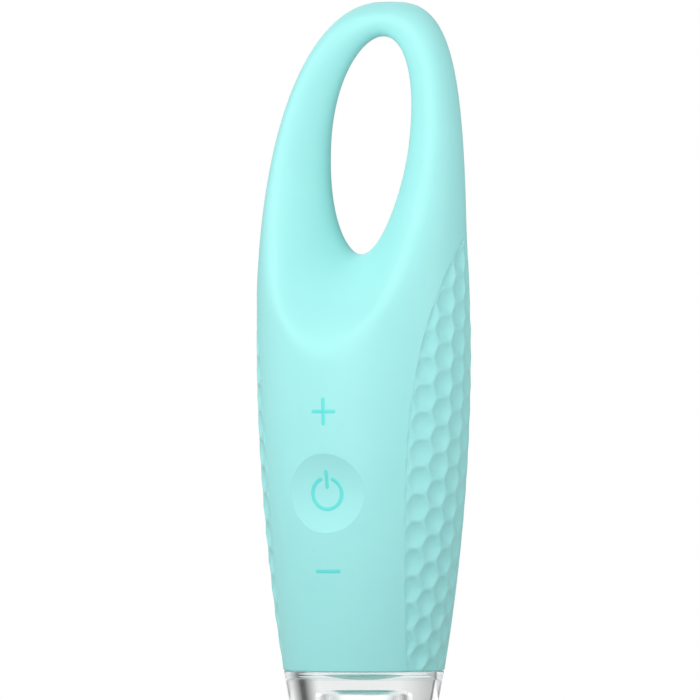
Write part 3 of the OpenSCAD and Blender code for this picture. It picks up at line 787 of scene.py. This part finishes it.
    def hem(self) -> Patch:
        """Bottom edge of the skin: a quarter round, the flat hem and the inner edge."""
        turns = np.arange(0, 360, self.turn_step)
        low = np.full(len(turns), self.blocks[0])
        outer, inner = (self.body_points(turns, low, w) for w in (0.0, self.thick))
        length = np.linalg.norm(outer[:, :2], axis=1, keepdims=True)
        bottom = self.form.base_h
        grid = []
        for a in np.radians(np.linspace(0, 90, self.hem_points)):
            shrunk = outer[:, :2] * ((length - self.edge_r * (1 - math.cos(a))) / length)
            grid.append(at_height(shrunk, bottom + self.edge_r * (1 - math.sin(a))))
        grid += [at_height(inner, bottom), at_height(inner, self.blocks[0])]
        return grid_patch(np.stack(grid), wrap_cols=True).facing((0, 0, bottom + 1))

    def build_skin(self) -> Piece:
        """The skin as one closed shell with walls at its holes and its hem."""
        outer, outer_rings = self.lower(0.0)
        inner, inner_rings = self.lower(self.thick)
        patches = outer + self.upper(0.0, self.rings[0])
        patches += [p.flipped() for p in inner + self.upper(self.thick, self.rings[1])]
        for a, b in zip(outer_rings, inner_rings):
            wall = grid_patch(np.stack([a, (a + b) / 2, b]), wrap_cols=True)
            patches.append(wall.facing(a.mean(0)).flipped())
        return make_piece("silicone_skin", joined([*patches, self.hem()]))

    def build_grip(self, side: int) -> Piece:
        """One grip panel: its own fine surface over the pocket in the skin.

        The grid runs over share across the panel and height; each point lies on the
        skin's face, moved in along its normal by the honeycomb. Beyond the panel's edge
        it dives slowly under the skin. Its bottom edge turns in like the hem.

        Args:
            side: 1 for +X, -1 for -X.

        Returns:
            The piece.
        """
        f, g, edge = self.form, self.grip, np.array(self.hem_steps)
        zs = np.concatenate([[f.base_h] * 3, f.base_h + self.edge_r * edge,
                             np.linspace(self.blocks[0], g.top + self.grip_over, self.grip_grid[1])])
        hem_depth = np.zeros(len(zs))
        hem_depth[:3] = (*self.hem_sinks, self.edge_r)
        hem_depth[3:6] = self.edge_r * (1 - np.sqrt(1 - (1 - edge) ** 2))
        reach = g.reach(zs) + np.degrees(self.grip_margin / f.radius(zs))
        turn = 90 + np.linspace(-1, 1, self.grip_grid[0])[None, :] * reach[:, None]
        z = np.broadcast_to(zs[:, None], turn.shape)
        points = f.side_point(turn, z)
        h = 0.02
        along = f.side_point(turn + h, z) - f.side_point(turn - h, z)
        normal = np.cross(along, f.side_point(turn, z + h) - f.side_point(turn, z - h))
        normal /= np.linalg.norm(normal, axis=-1, keepdims=True)
        normal *= np.sign((normal[..., :1] * points[..., :1]).sum())
        start, fade = self.dive_edge
        lift = self.grip_lift - self.grip_dive * ease((-g.inside(turn, z) - start) / fade)
        points = points + normal * (lift - g.hollow(turn, z) - hem_depth[:, None])[..., None]
        points[..., 2] = np.maximum(points[..., 2], f.base_h)
        points[..., 0] *= side
        name = "grip_panel_right" if side > 0 else "grip_panel_left"
        return make_piece(name, grid_patch(points).facing((0, 0, 60)), weld=0.0005, sharp=80)

    def build(self, finish: "Silicone") -> None:
        """Make the skin and its grips, dress them and put them on the wand's body.

        Args:
            finish: their finish.
        """
        skin = self.build_skin()
        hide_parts("silicone_sleeve")
        for piece in (skin, self.build_grip(1), self.build_grip(-1)):
            dress(piece, finish.material(), "wand")


# ---- keys ----


@dataclass
class Stroke:
    """A round-ended stroke of a symbol, straight or bent round the key's centre."""

    length: float
    centre: tuple[float, float] = (0.0, 0.0)
    upright: bool = False
    bend: float = 0.0


@dataclass
class KeySet:
    """The three key pads of the skin and the symbols printed on them."""

    form: WandForm
    keys: list[KeyPlace]
    pad_grid: tuple[int, int] = (144, 26)
    pad_depth: float = 0.55
    middle_r: float = 0.02
    stroke_w: float = 0.72
    stroke_grid: tuple[int, int] = (81, 13)
    ink: float = 0.05
    ink_gap: float = 0.004

    def face(self, key: KeyPlace, x: Array, z: Array) -> Array:
        """Face of a pad: the body's round face, sunk by a dish that is deepest in the middle."""
        rho2 = (x**2 + (z - key.z) ** 2) / key.r**2
        return -np.sqrt(self.form.radius(z) ** 2 - x**2) + key.dish * np.maximum(0, 1 - rho2)

    def pad(self, key: KeyPlace) -> Piece:
        """A key pad: polar grid of its face, a straight skirt and a flat back.

        Args:
            key: the key.

        Returns:
            The piece.
        """
        around, rings = self.pad_grid
        a = np.linspace(0, 2 * np.pi, around, endpoint=False)[None, :]
        r = np.concatenate([[self.middle_r], np.linspace(0, 1, rings)[1:] * key.r])[:, None]
        x, z = r * np.cos(a), key.z + r * np.sin(a)
        y = self.face(key, x, z)
        edge = np.stack([x[-1], y[-1], z[-1]], -1)
        back = edge.copy()
        back[:, 1] = y.max() + self.pad_depth
        middle = back.copy()
        middle[:, [0, 2]] = [0, key.z]
        grid = np.concatenate([np.stack([x, y, z], -1), back[None], middle[None]])
        grid[0, :] = [0, float(self.face(key, np.array(0.0), np.array(key.z))), key.z]
        patch = grid_patch(grid, wrap_cols=True).facing((0, float(y.max()) + 0.3, key.z))
        return make_piece(key.name + "_pad", patch, weld=0.0008, sharp=25)

    def stroke(self, key: KeyPlace, s: Stroke) -> Patch:
        """One stroke: a flat lens whose outline is a capsule, laid on the pad's face.

        Along the stroke runs s, across it v; the half-width shrinks like a circle at the
        ends, and the height is ink times one less the fourth power of the distance from
        the stroke's middle line.

        Args:
            key: the pad that it lies on.
            s: the stroke.

        Returns:
            The closed patch.
        """
        w = self.stroke_w / 2
        half = s.length / 2
        u = (1 - np.cos(np.linspace(0, np.pi, self.stroke_grid[0])))[:, None] * half - half
        over = np.maximum(np.abs(u) - (half - w), 0)
        hw = np.sqrt(np.maximum(w * w - over * over, 0))
        v = np.linspace(-1, 1, self.stroke_grid[1])[None, :] * hw
        dist = np.hypot(over, v) / w
        if s.bend > 0:
            a = u / s.bend + math.pi
            x = (s.bend + v) * np.sin(a) + s.centre[0]
            z = (s.bend + v) * np.cos(a) + s.centre[1]
        else:
            along, across = np.broadcast_to(u, v.shape), v
            x, z = (across, along) if s.upright else (along, across)
            x, z = x + s.centre[0], z + s.centre[1]
        z = z + key.z
        y = self.face(key, x, z)
        h = self.ink * (1 - np.minimum(dist, 1) ** 4)
        top, under = (grid_patch(np.stack([x, y + face - self.ink_gap, z], -1)) for face in (-h, h))
        middle = np.array([x.mean(), y.mean(), z.mean()])
        return joined([top.facing(middle + [0, 1, 0]), under.facing(middle - [0, 1, 0])])

    def symbols(self) -> dict[str, list[Stroke]]:
        """Strokes of the three symbols; the power ring is open by a gap on each side of its top."""
        ring_r, gap = 2.85, math.radians(17)
        return {
            "plus": [Stroke(5.15, upright=True), Stroke(4.75)],
            "power": [Stroke(ring_r * 2 * (math.pi - gap), bend=ring_r),
                      Stroke(3.5, centre=(0.0, 2.6), upright=True)],
            "minus": [Stroke(4.9)],
        }

    def build(self, finish: "Silicone", ink: "PadPrint") -> None:
        """Make pads and symbols and put each pair on its key's body.

        Args:
            finish: the pads' finish.
            ink: the symbols' finish.
        """
        for key in self.keys:
            pad = self.pad(key)
            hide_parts(key.name + "_key")
            dress(pad, finish.material(), key.name + "_button")
            patches = [self.stroke(key, s) for s in self.symbols()[key.name]]
            mark = make_piece(key.name + "_symbol", joined(patches), weld=0.0005, sharp=60)
            dress(mark, ink.material(), key.name + "_button")


# ---- base ----


@dataclass
class StandBase:
    """The clear standing base: turned body with a hollow, floor disc, and the cap above it."""

    base_h: float = 16.8
    top_r: float = 14.7
    foot_r: float = 10.4
    foot_round: float = 1.6
    hollow_r: float = 6.0
    web: float = 2.9
    floor_t: float = 2.0
    dome_r: float = 5.25
    dome_h: float = 0.9
    bond: float = 0.03
    air_gap: float = 0.02
    shoulder_round: float = 0.12
    toe: float = 0.4
    toe_round: float = 1.0
    corner_round: float = 1.2
    mouth: float = 0.3
    floor_gap: float = 0.01
    floor_round: tuple[float, float] = (0.25, 0.2)
    seat_points: int = 14

    def body(self) -> Piece:
        """Clear body: one closed profile from the dome's seat round the outside to the hollow.

        The seat is bonded to the cap's boss, so the boss shows its colour there; the
        rest of the top lies on the cap with a film of air and mirrors like a prism.
        """
        top = self.base_h - self.air_gap
        roof = self.base_h - self.web
        r = np.linspace(0, self.dome_r, self.seat_points)
        seat_z = self.base_h - self.dome_h * (1 - (r / self.dome_r) ** 2) + self.bond
        seat = np.stack([r, np.minimum(seat_z, top)], -1)
        outside = rounded_profile([
            (self.dome_r, top, 0), (self.top_r, top, self.shoulder_round),
            (self.foot_r + self.foot_round, self.foot_round, self.corner_round),
            (self.foot_r + self.toe, 0, self.toe_round), (self.hollow_r + self.mouth, 0, 0),
            (self.hollow_r, self.mouth, 0), (self.hollow_r, roof, self.corner_round), (0, roof, 0)], 10)
        patch = revolved(np.concatenate([seat, outside[1:]]), 160)
        return make_piece("clear_stand", patch.facing((0, 0, self.base_h * 0.9)), weld=0.001, sharp=35)

    def satin_hollow(self, piece: Piece, satin: "ClearAcrylic") -> None:
        """Give the hollow's wall and roof the finish of an unpolished moulded face.

        Args:
            piece: the clear body.
            satin: the finish.
        """
        piece.data.materials.append(satin.material())
        count = len(piece.data.polygons)
        centre = np.empty(count * 3)
        piece.data.polygons.foreach_get("center", centre)
        centre = centre.reshape(-1, 3) / MM
        inner = np.hypot(centre[:, 0], centre[:, 1]) < self.hollow_r
        below = centre[:, 2] < self.base_h - self.web + self.air_gap
        piece.data.polygons.foreach_set("material_index", (inner & below).astype(np.int32))

    def floor(self) -> Piece:
        """Clear floor disc with softened edges, flush with the foot."""
        r, (low, high) = self.hollow_r - self.floor_gap, self.floor_round
        profile = rounded_profile([(0, 0, 0), (r, 0, low), (r, self.floor_t, high), (0, self.floor_t, 0)])
        patch = revolved(profile, 120).facing((0, 0, self.floor_t / 2))
        return make_piece("clear_floor_disc", patch, weld=0.001, sharp=50)

    def build(self, clear: "ClearAcrylic") -> None:
        """Make the clear parts and put them on the wand's body.

        Args:
            clear: their finish, apart from the hollow's.
        """
        body = self.body()
        for piece, node in ((body, "clear_base"), (self.floor(), "base_floor")):
            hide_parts(node)
            dress(piece, clear.material(), "wand")
        self.satin_hollow(body, ClearAcrylic("satin_clear_acrylic", roughness=0.3))


@dataclass
class ChargingPort:
    """What shows of the charging socket in the back of the skin."""

    z: float = 22.4
    mouth_y: float = 15.22
    bore_r: float = 1.3
    clearance: float = 0.06
    wall: float = 0.54
    behind: float = 0.6
    proud: float = 0.12
    lip_round: float = 0.06

    def build(self, metal: "Metal") -> None:
        """A pressed metal bush at the mouth of the bore.

        Args:
            metal: its finish.
        """
        inner = self.bore_r + self.clearance
        outer, end, lip = inner + self.wall, self.mouth_y - self.behind, self.mouth_y + self.proud
        soft = self.lip_round
        profile = rounded_profile([(inner, end, 0), (inner, lip, soft), (outer, lip, soft), (outer, end, 0),
                                   (inner, end, 0)], 5)
        patch = revolved(profile, 72, axis="y", centre=(0, 0, self.z))
        bush = make_piece("socket_bush", patch.facing((0, self.mouth_y - 0.3, self.z)), weld=0.001)
        dress(bush, metal.material(), "wand")


# ---- finishes ----


def linear(code: str) -> tuple[float, float, float, float]:
    """An sRGB hex colour as linear RGBA."""
    parts = [int(code[i:i + 2], 16) / 255 for i in (1, 3, 5)]
    rgb = [c / 12.92 if c <= 0.04045 else ((c + 0.055) / 1.055) ** 2.4 for c in parts]
    return (*rgb, 1.0)


class Grain(Enum):
    """Texture that a tool leaves: size of its features in millimetres and strength of its bump."""

    SATIN = (0.5, 0.05)
    SPARK = (0.25, 0.2)


class Shading:
    """The node tree of a material or world, with short ways to add what finishes share.

    An output is a node and the name or number of its output socket.
    """

    def __init__(self, holder: Material | bpy.types.World) -> None:
        """Switch the nodes on and start with none.

        Args:
            holder: the material or world.
        """
        holder.use_nodes = True
        self.holder = holder
        self.tree = holder.node_tree
        self.tree.nodes.clear()

    def add(self, kind: str, settings: Settings = None, links: Links = None) -> Node:
        """Add a node with its settings, input values and links.

        Args:
            kind: Blender's node type.
            settings: attributes by name, or socket values where the name is a socket's.
            links: input socket to output.

        Returns:
            The node.
        """
        node = self.tree.nodes.new(kind)
        for key, value in (settings or {}).items():
            if isinstance(key, str) and hasattr(node, key):
                setattr(node, key, value)
            else:
                node.inputs[key].default_value = value
        for key, (source, output) in (links or {}).items():
            self.tree.links.new(source.outputs[output], node.inputs[key])
        return node

    def where(self) -> Output:
        """Object coordinates, in metres."""
        return self.add("ShaderNodeTexCoord"), "Object"

    def noise(self, size: float, detail: float = 2.0, place: Output | None = None) -> Output:
        """Noise whose features have a size in millimetres, on Object coordinates unless others are given."""
        settings = {"Scale": 1 / (size * MM), "Detail": detail}
        return self.add("ShaderNodeTexNoise", settings, {"Vector": place or self.where()}), "Fac"

    def spread(self, factor: Output, low: float, high: float) -> Output:
        """A factor spread out from low to high."""
        return self.add("ShaderNodeMapRange", {"To Min": low, "To Max": high}, {"Value": factor}), "Result"

    def bump(self, height: Output, strength: float, depth: float) -> Output:
        """Normal of a grain with a depth in millimetres."""
        settings = {"Strength": strength, "Distance": depth * MM}
        return self.add("ShaderNodeBump", settings, {"Height": height}), "Normal"

    def two_tone(self, factor: Output, first: str, second: str) -> Output:
        """Mix of two hex colours by a factor."""
        node = self.add("ShaderNodeMix", {"data_type": "RGBA"}, {"Factor": factor})
        node.inputs[6].default_value, node.inputs[7].default_value = linear(first), linear(second)
        return node, 2

    def math(self, operation: str, first: Output, second: Output | float) -> Output:
        """Result of a sum on two values."""
        fixed = {1: second} if isinstance(second, float) else {}
        linked = {} if fixed else {1: second}
        return self.add("ShaderNodeMath", {"operation": operation, **fixed}, {0: first, **linked}), "Value"

    def mix(self, factor: Output, first: Output, second: Output) -> Output:
        """Mix of two shaders by a factor."""
        return self.add("ShaderNodeMixShader", links={0: factor, 1: first, 2: second}), "Shader"

    def surface(self, shader: Output, kind: str = "ShaderNodeOutputMaterial") -> Any:
        """Connect the last shader to the output, and give back the material or world."""
        self.add(kind, links={"Surface": shader})
        return self.holder

    def principled(self, settings: Settings, links: Links) -> Material:
        """Finish with a principled shader, and give back the material."""
        return self.surface((self.add("ShaderNodeBsdfPrincipled", settings, links), "BSDF"))


class Finish:
    """A finish that makes its Blender material once."""

    _made: dict[Any, Material] = {}

    def material(self) -> Material:
        """The material of this finish, made on first use."""
        if self not in Finish._made:
            Finish._made[self] = self.make(Shading(bpy.data.materials.new(self.name)))
        return Finish._made[self]

    def make(self, tree: Shading) -> Material:
        """Build the material; each finish has its own.

        Args:
            tree: the new material's empty node tree.

        Returns:
            The material.
        """
        raise NotImplementedError


@dataclass(frozen=True)
class Silicone(Finish):
    """Liquid silicone rubber, moulded against a fine-blasted tool: soft satin."""

    name: str = "soft_touch_silicone"
    colour: str = "#AAF3F1"
    deep: str = "#A6EFED"
    roughness: float = 0.42
    mottle_mm: float = 9.0
    blast_mm: float = 0.35

    def make(self, tree: Shading) -> Material:
        """Slow colour mottling, a fine blasted grain in roughness and bump."""
        fine = tree.noise(self.blast_mm, 3.0)
        colour = tree.two_tone(tree.noise(self.mottle_mm), self.deep, self.colour)
        rough = tree.spread(fine, self.roughness - 0.04, self.roughness + 0.05)
        grain = tree.bump(fine, 0.06, 0.03)
        return tree.principled({"IOR": 1.41, "Specular IOR Level": 0.35},
                               {"Base Color": colour, "Roughness": rough, "Normal": grain})


@dataclass(frozen=True)
class PadPrint(Finish):
    """Silicone ink, pad printed: denser colour than the skin, a little glossier."""

    name: str = "printed_silicone_ink"
    colour: str = "#6AE7E3"
    pull_mm: float = 0.8

    def make(self, tree: Shading) -> Material:
        """Even ink with a faint unevenness of the pad's pull."""
        return tree.principled({"Base Color": linear(self.colour), "IOR": 1.43},
                               {"Roughness": tree.spread(tree.noise(self.pull_mm), 0.3, 0.42)})


@dataclass(frozen=True)
class ClearAcrylic(Finish):
    """Cast acrylic, turned and flame polished: clear, glass-smooth, faintly cool."""

    name: str = "polished_clear_acrylic"
    tint: str = "#F7FCFC"
    shadow: tuple[float, ...] = (0.93, 0.95, 0.95, 1.0)
    roughness: float = 0.01

    def make(self, tree: Shading) -> Material:
        """Refracting shader that lets light through in its shadow."""
        glass = tree.add("ShaderNodeBsdfPrincipled",
                         {"Base Color": linear(self.tint), "Roughness": self.roughness, "IOR": 1.49,
                          "Transmission Weight": 1.0})
        through = tree.add("ShaderNodeBsdfTransparent", {"Color": self.shadow})
        path = tree.add("ShaderNodeLightPath")
        return tree.surface(tree.mix((path, "Is Shadow Ray"), (glass, "BSDF"), (through, "BSDF")))


@dataclass(frozen=True)
class ClearGum(Finish):
    """Clear silicone of a seal: lets nearly all light straight through, with a faint haze."""

    name: str = "clear_silicone_seal"
    haze: float = 0.06

    def make(self, tree: Shading) -> Material:
        """A little translucency over plain transparency."""
        soft = tree.add("ShaderNodeBsdfTranslucent", {"Color": linear("#EEF6F5")})
        through = tree.add("ShaderNodeBsdfTransparent", {"Color": linear("#FAFDFD")})
        mix = tree.add("ShaderNodeMixShader", {0: self.haze}, {1: (through, "BSDF"), 2: (soft, "BSDF")})
        return tree.surface((mix, "Shader"))


@dataclass(frozen=True)
class MouldedPlastic(Finish):
    """Injection-moulded plastic: even colour with the grain of its tool."""

    name: str
    colour: str
    roughness: float = 0.4
    grain: Grain = Grain.SATIN
    drift_mm: float = 12.0

    def make(self, tree: Shading) -> Material:
        """Tool grain in bump and roughness, very slight colour drift."""
        size, strength = self.grain.value
        fine = tree.noise(size, 4.0)
        shade = tree.spread(tree.noise(self.drift_mm), 0.94, 1.05)
        colour = tree.add("ShaderNodeHueSaturation", {"Color": linear(self.colour)}, {"Value": shade})
        rough = tree.spread(fine, self.roughness - 0.05, self.roughness + 0.08)
        return tree.principled({"IOR": 1.5}, {"Base Color": (colour, "Color"), "Roughness": rough,
                                              "Normal": tree.bump(fine, strength, 0.03)})


@dataclass(frozen=True)
class Metal(Finish):
    """Plated, drawn or sintered metal with fine drawn lines."""

    name: str
    colour: str
    roughness: float = 0.3
    along: tuple[float, float, float] = (1.0, 1.0, 0.06)
    line_mm: float = 0.2

    def make(self, tree: Shading) -> Material:
        """Stretched noise as fine lines in roughness and bump."""
        stretch = tree.add("ShaderNodeMapping", {"Scale": self.along}, {"Vector": tree.where()})
        lines = tree.noise(self.line_mm, 3.0, (stretch, "Vector"))
        rough = tree.spread(lines, self.roughness - 0.08, self.roughness + 0.12)
        return tree.principled({"Base Color": linear(self.colour), "Metallic": 1.0},
                               {"Roughness": rough, "Normal": tree.bump(lines, 0.08, 0.02)})


def dress(piece: Piece, material: Material, body: str) -> None:
    """Give a new piece its material, body and slot, and report it.

    Args:
        piece: the piece.
        material: its only material.
        body: the body that carries it.
    """
    piece.data.materials.clear()
    piece.data.materials.append(material)
    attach(piece, body)
    LOG.info("%s: %d faces on %s", piece.name, len(piece.data.polygons), body)


@dataclass
class HiddenParts:
    """Finishes of the CAD nodes that keep their own meshes."""

    frame: dict[str, Any]

    def finishes(self) -> dict[str, Finish]:
        """Finish of each kept node."""
        shell = MouldedPlastic("moulded_abs_shell", "#E9ECEC", 0.42)
        core = MouldedPlastic("moulded_nylon_core", "#D9DCDB", 0.5, Grain.SPARK)
        cap = MouldedPlastic("turquoise_abs_cap", "#8FD8D2", 0.35)
        dark = MouldedPlastic("black_epoxy", "#1B1B1D", 0.45, Grain.SPARK)
        steel = Metal("zinc_plated_steel", "#BFC1C4", 0.28)
        nickel = Metal("nickel_strip", "#CFCBC0", 0.3, (0.06, 1.0, 1.0))
        wire = MouldedPlastic("silicone_wire_insulation", "#B9241F", 0.5)
        gum = MouldedPlastic("translucent_silicone_seal", "#CFE6E4", 0.5)
        buttons = {key + part: finish for key in ("plus", "power", "minus")
                   for part, finish in (("_plunger", shell), ("_switch_stem", dark))}
        return {
            **buttons,
            "casing_front": shell, "casing_rear": shell, "loop_core": core, "battery_tray": core,
            "switch_bodies": Metal("stamped_switch_cover", "#C3C5C8", 0.3, (1.0, 1.0, 1.0)),
            "circuit_board": MouldedPlastic("green_solder_mask", "#14502C", 0.3),
            "control_chips": dark, "temperature_sensor": dark,
            "status_led": MouldedPlastic("clear_epoxy_lens", "#F2F4EA", 0.15),
            "casing_screws": steel,
            "heater_film": MouldedPlastic("amber_polyimide", "#C8791C", 0.22),
            "vibration_motor": steel,
            "motor_boot": MouldedPlastic("black_rubber_boot", "#232324", 0.6, Grain.SPARK),
            "motor_weight": Metal("sintered_tungsten", "#8E8B84", 0.45),
            "battery_cell": MouldedPlastic("blue_shrink_wrap", "#2A55A4", 0.22),
            "battery_tabs": nickel, "battery_leads": wire, "motor_leads": wire,
            "charging_socket": MouldedPlastic("black_nylon_socket", "#19191B", 0.4),
            "socket_gasket": gum, "base_seal": ClearGum(), "bottom_cap": cap,
        }

    def build(self) -> None:
        """Assign each finish to its node's material slots."""
        for name, finish in self.finishes().items():
            node = self.frame["nodes"][name]
            node.data.materials.clear()
            node.data.materials.append(finish.material())
            LOG.info("%s: dressed", name)


# ---- studio ----


@dataclass(frozen=True)
class DarkCard:
    """A black card behind the object, beside which the cove is shaded and then fades to pale.

    Angles are degrees from straight behind the object, positive to the camera's right. A
    flank is the cove's share of light next to the card, on the side of the middle or away
    from it, and a reach is how far that shading goes.
    """

    centre: float
    half_width: float
    inner_flank: float
    inner_reach: float
    outer_flank: float
    outer_reach: float
    edge: float = 1.5

    def stops(self) -> list[tuple[float, float]]:
        """Angle and share of light of the ramp's stops, from the middle outwards."""
        side = math.copysign(1.0, self.centre)
        near, far = self.half_width, self.half_width + self.edge
        steps = [(-self.inner_reach, 1.0), (-far, self.inner_flank), (-near, 0.0), (near, 0.0),
                 (far, self.outer_flank), (self.outer_reach, 1.0)]
        return [(self.centre + side * step, share) for step, share in steps]


@dataclass(frozen=True)
class SoftLamp:
    """A square lamp: degrees round the object from its front and above the horizon, and watts."""

    name: str
    azimuth: float
    elevation: float
    power: float


@dataclass
class Studio:
    """White surroundings, soft lamps and a long lens at the photograph's angle, in metres."""

    azimuth: float = 22.5
    look_z: float = 0.0757
    side_shift: float = 0.00257
    frame_w: float = 0.1286
    distance: float = 2.6
    lamps: tuple[SoftLamp, ...] = (
        SoftLamp("key_lamp", -45, 35, 3.4), SoftLamp("front_fill", 5, 8, 4.8),
        SoftLamp("side_fill", 90, 8, 2.95), SoftLamp("back_fill", 205, 30, 1.3))
    lamp_away: float = 0.95
    lamp_size: float = 0.7
    lamp_aim_z: float = 0.08
    ambient: float = 0.38
    floor_r: float = 0.4
    floor_sunk: float = 0.00002
    floor_fade: tuple[float, float] = (0.35, 0.95)
    floor_lift: float = 0.38
    cove: str = "#F4F1F0"
    dark_cards: tuple[DarkCard, ...] = (
        DarkCard(41.3, 2.3, 0.1, 15, 0.12, 22), DarkCard(-54.5, 1.5, 0.45, 36, 1.0, 4))

    def direction(self, azimuth: float, elevation: float) -> Array:
        """Unit vector from the object towards an azimuth and elevation."""
        a, e = math.radians(azimuth), math.radians(elevation)
        return np.array([math.sin(a) * math.cos(e), -math.cos(a) * math.cos(e), math.sin(e)])

    def camera(self) -> None:
        """Camera level with the photograph's centre, on a lens long enough to look parallel."""
        data = bpy.data.cameras.new("camera")
        data.sensor_width = 36.0
        data.lens = data.sensor_width * self.distance / self.frame_w
        data.clip_end = 50.0
        cam = bpy.data.objects.new("camera", data)
        back = self.direction(self.azimuth, 0)
        right = self.direction(self.azimuth + 90, 0)
        place = back * self.distance - right * self.side_shift + [0, 0, self.look_z]
        cam.location = place.tolist()
        cam.rotation_euler = (math.pi / 2, 0, math.radians(self.azimuth))
        bpy.context.scene.collection.objects.link(cam)
        bpy.context.scene.camera = cam

    def lamp(self, lamp: SoftLamp) -> None:
        """Hang a lamp so that it looks at the object's middle.

        Args:
            lamp: where it hangs and how strong it is.
        """
        data = bpy.data.lights.new(lamp.name, "AREA")
        data.shape = "SQUARE"
        data.size = self.lamp_size
        data.energy = lamp.power
        light = bpy.data.objects.new(lamp.name, data)
        d = self.direction(lamp.azimuth, lamp.elevation)
        light.location = (d * self.lamp_away + [0, 0, self.lamp_aim_z]).tolist()
        light.rotation_euler = Vector((-d).tolist()).to_track_quat("-Z", "Y").to_euler()
        bpy.context.scene.collection.objects.link(light)

    def floor(self) -> None:
        """Round sheet of pale paper that fades into the white surroundings towards its rim."""
        r = np.linspace(0, self.floor_r, 9) / MM
        patch = revolved(np.stack([r, np.full(len(r), -self.floor_sunk / MM)], -1), 96)
        sheet = make_piece("studio_floor", patch.facing((0, 0, -100)), weld=0.01)
        tree = Shading(bpy.data.materials.new("white_paper_floor"))
        reach = tree.add("ShaderNodeVectorMath", {"operation": "LENGTH"}, {0: tree.where()})
        low, high = (self.floor_r * share for share in self.floor_fade)
        edge = tree.add("ShaderNodeMapRange", {"From Min": low, "From Max": high},
                        {"Value": (reach, "Value")})
        path = tree.add("ShaderNodeLightPath")
        bounce = tree.two_tone((path, "Is Diffuse Ray"), "#F4F4F4", "#8C8C8C")
        paper = tree.add("ShaderNodeBsdfDiffuse", links={"Color": bounce})
        lift = tree.math("MULTIPLY", (path, "Is Camera Ray"), self.floor_lift)
        glow = tree.add("ShaderNodeEmission", {"Color": WHITE}, {"Strength": lift})
        lit = tree.add("ShaderNodeAddShader", links={0: (paper, "BSDF"), 1: (glow, "Emission")})
        white = tree.add("ShaderNodeEmission", {"Color": WHITE, "Strength": 1.0})
        mirrored = tree.math("MAXIMUM", (path, "Is Glossy Ray"), (path, "Is Transmission Ray"))
        either = tree.math("MAXIMUM", mirrored, (edge, "Result"))
        sheet.data.materials.append(tree.surface(tree.mix(either, (lit, "Shader"), (white, "Emission"))))

    def cards(self, tree: Shading) -> Output:
        """What shows through clear plastic: a white cove with dark cards on both sides.

        The direction's angle from straight behind the object is looked up in a ramp.

        Args:
            tree: the world's node tree.

        Returns:
            The background's output.
        """
        a = math.radians(self.azimuth)
        where = (tree.add("ShaderNodeTexCoord"), "Generated")
        right, ahead = (
            (tree.add("ShaderNodeVectorMath", {"operation": "DOT_PRODUCT", 1: axis}, {0: where}), "Value")
            for axis in ((math.cos(a), math.sin(a), 0), (-math.sin(a), math.cos(a), 0)))
        turn = tree.math("ARCTAN2", right, ahead)
        share = tree.add("ShaderNodeMapRange", {"From Min": -math.pi, "From Max": math.pi}, {"Value": turn})
        ramp = tree.add("ShaderNodeValToRGB", links={"Fac": (share, "Result")})
        stops = ramp.color_ramp.elements
        pale = linear(self.cove)[:3]
        for angle, light in (point for card in self.dark_cards for point in card.stops()):
            stop = stops.new((angle + 180) / 360)
            stop.color = (*(light * part for part in pale), 1.0)
        stops.remove(stops[0])
        stops.remove(stops[len(stops) - 1])
        return tree.add("ShaderNodeBackground", {"Strength": 1.0}, {"Color": (ramp, "Color")}), "Background"

    def world(self) -> None:
        """White surroundings: a plain level of light, white where seen, cards through clear plastic."""
        tree = Shading(bpy.data.worlds.new("studio_world"))
        light, seen = (tree.add("ShaderNodeBackground", {"Color": WHITE, "Strength": strength})
                       for strength in (self.ambient, 1.0))
        path = tree.add("ShaderNodeLightPath")
        plain = tree.mix((path, "Is Camera Ray"), (light, "Background"), (seen, "Background"))
        through = tree.mix((path, "Is Transmission Ray"), plain, self.cards(tree))
        bpy.context.scene.world = tree.surface(through, "ShaderNodeOutputWorld")

    def build(self) -> None:
        """Camera, lamps, floor and surroundings."""
        self.camera()
        for lamp in self.lamps:
            self.lamp(lamp)
        self.floor()
        self.world()
        bpy.context.scene.view_settings.view_transform = "Standard"


def main() -> None:
    """Load the frame, build every sub-assembly and finish."""
    logging.basicConfig(level=logging.INFO, format="%(name)s: %(message)s")
    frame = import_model()
    form = WandForm()
    keys = [KeyPlace("plus", 64.5, 9.0), KeyPlace("power", 49.5, 14.5, 1.2), KeyPlace("minus", 35.3, 9.0)]
    silicone = Silicone()
    Studio().build()
    SiliconeSkin(form, GripPattern(form), keys).build(silicone)
    KeySet(form, keys).build(silicone, PadPrint())
    StandBase().build(ClearAcrylic())
    ChargingPort().build(Metal("nickel_plated_brass", "#C9C5BA", 0.2))
    HiddenParts(frame).build()


if __name__ == "__main__":
    main()
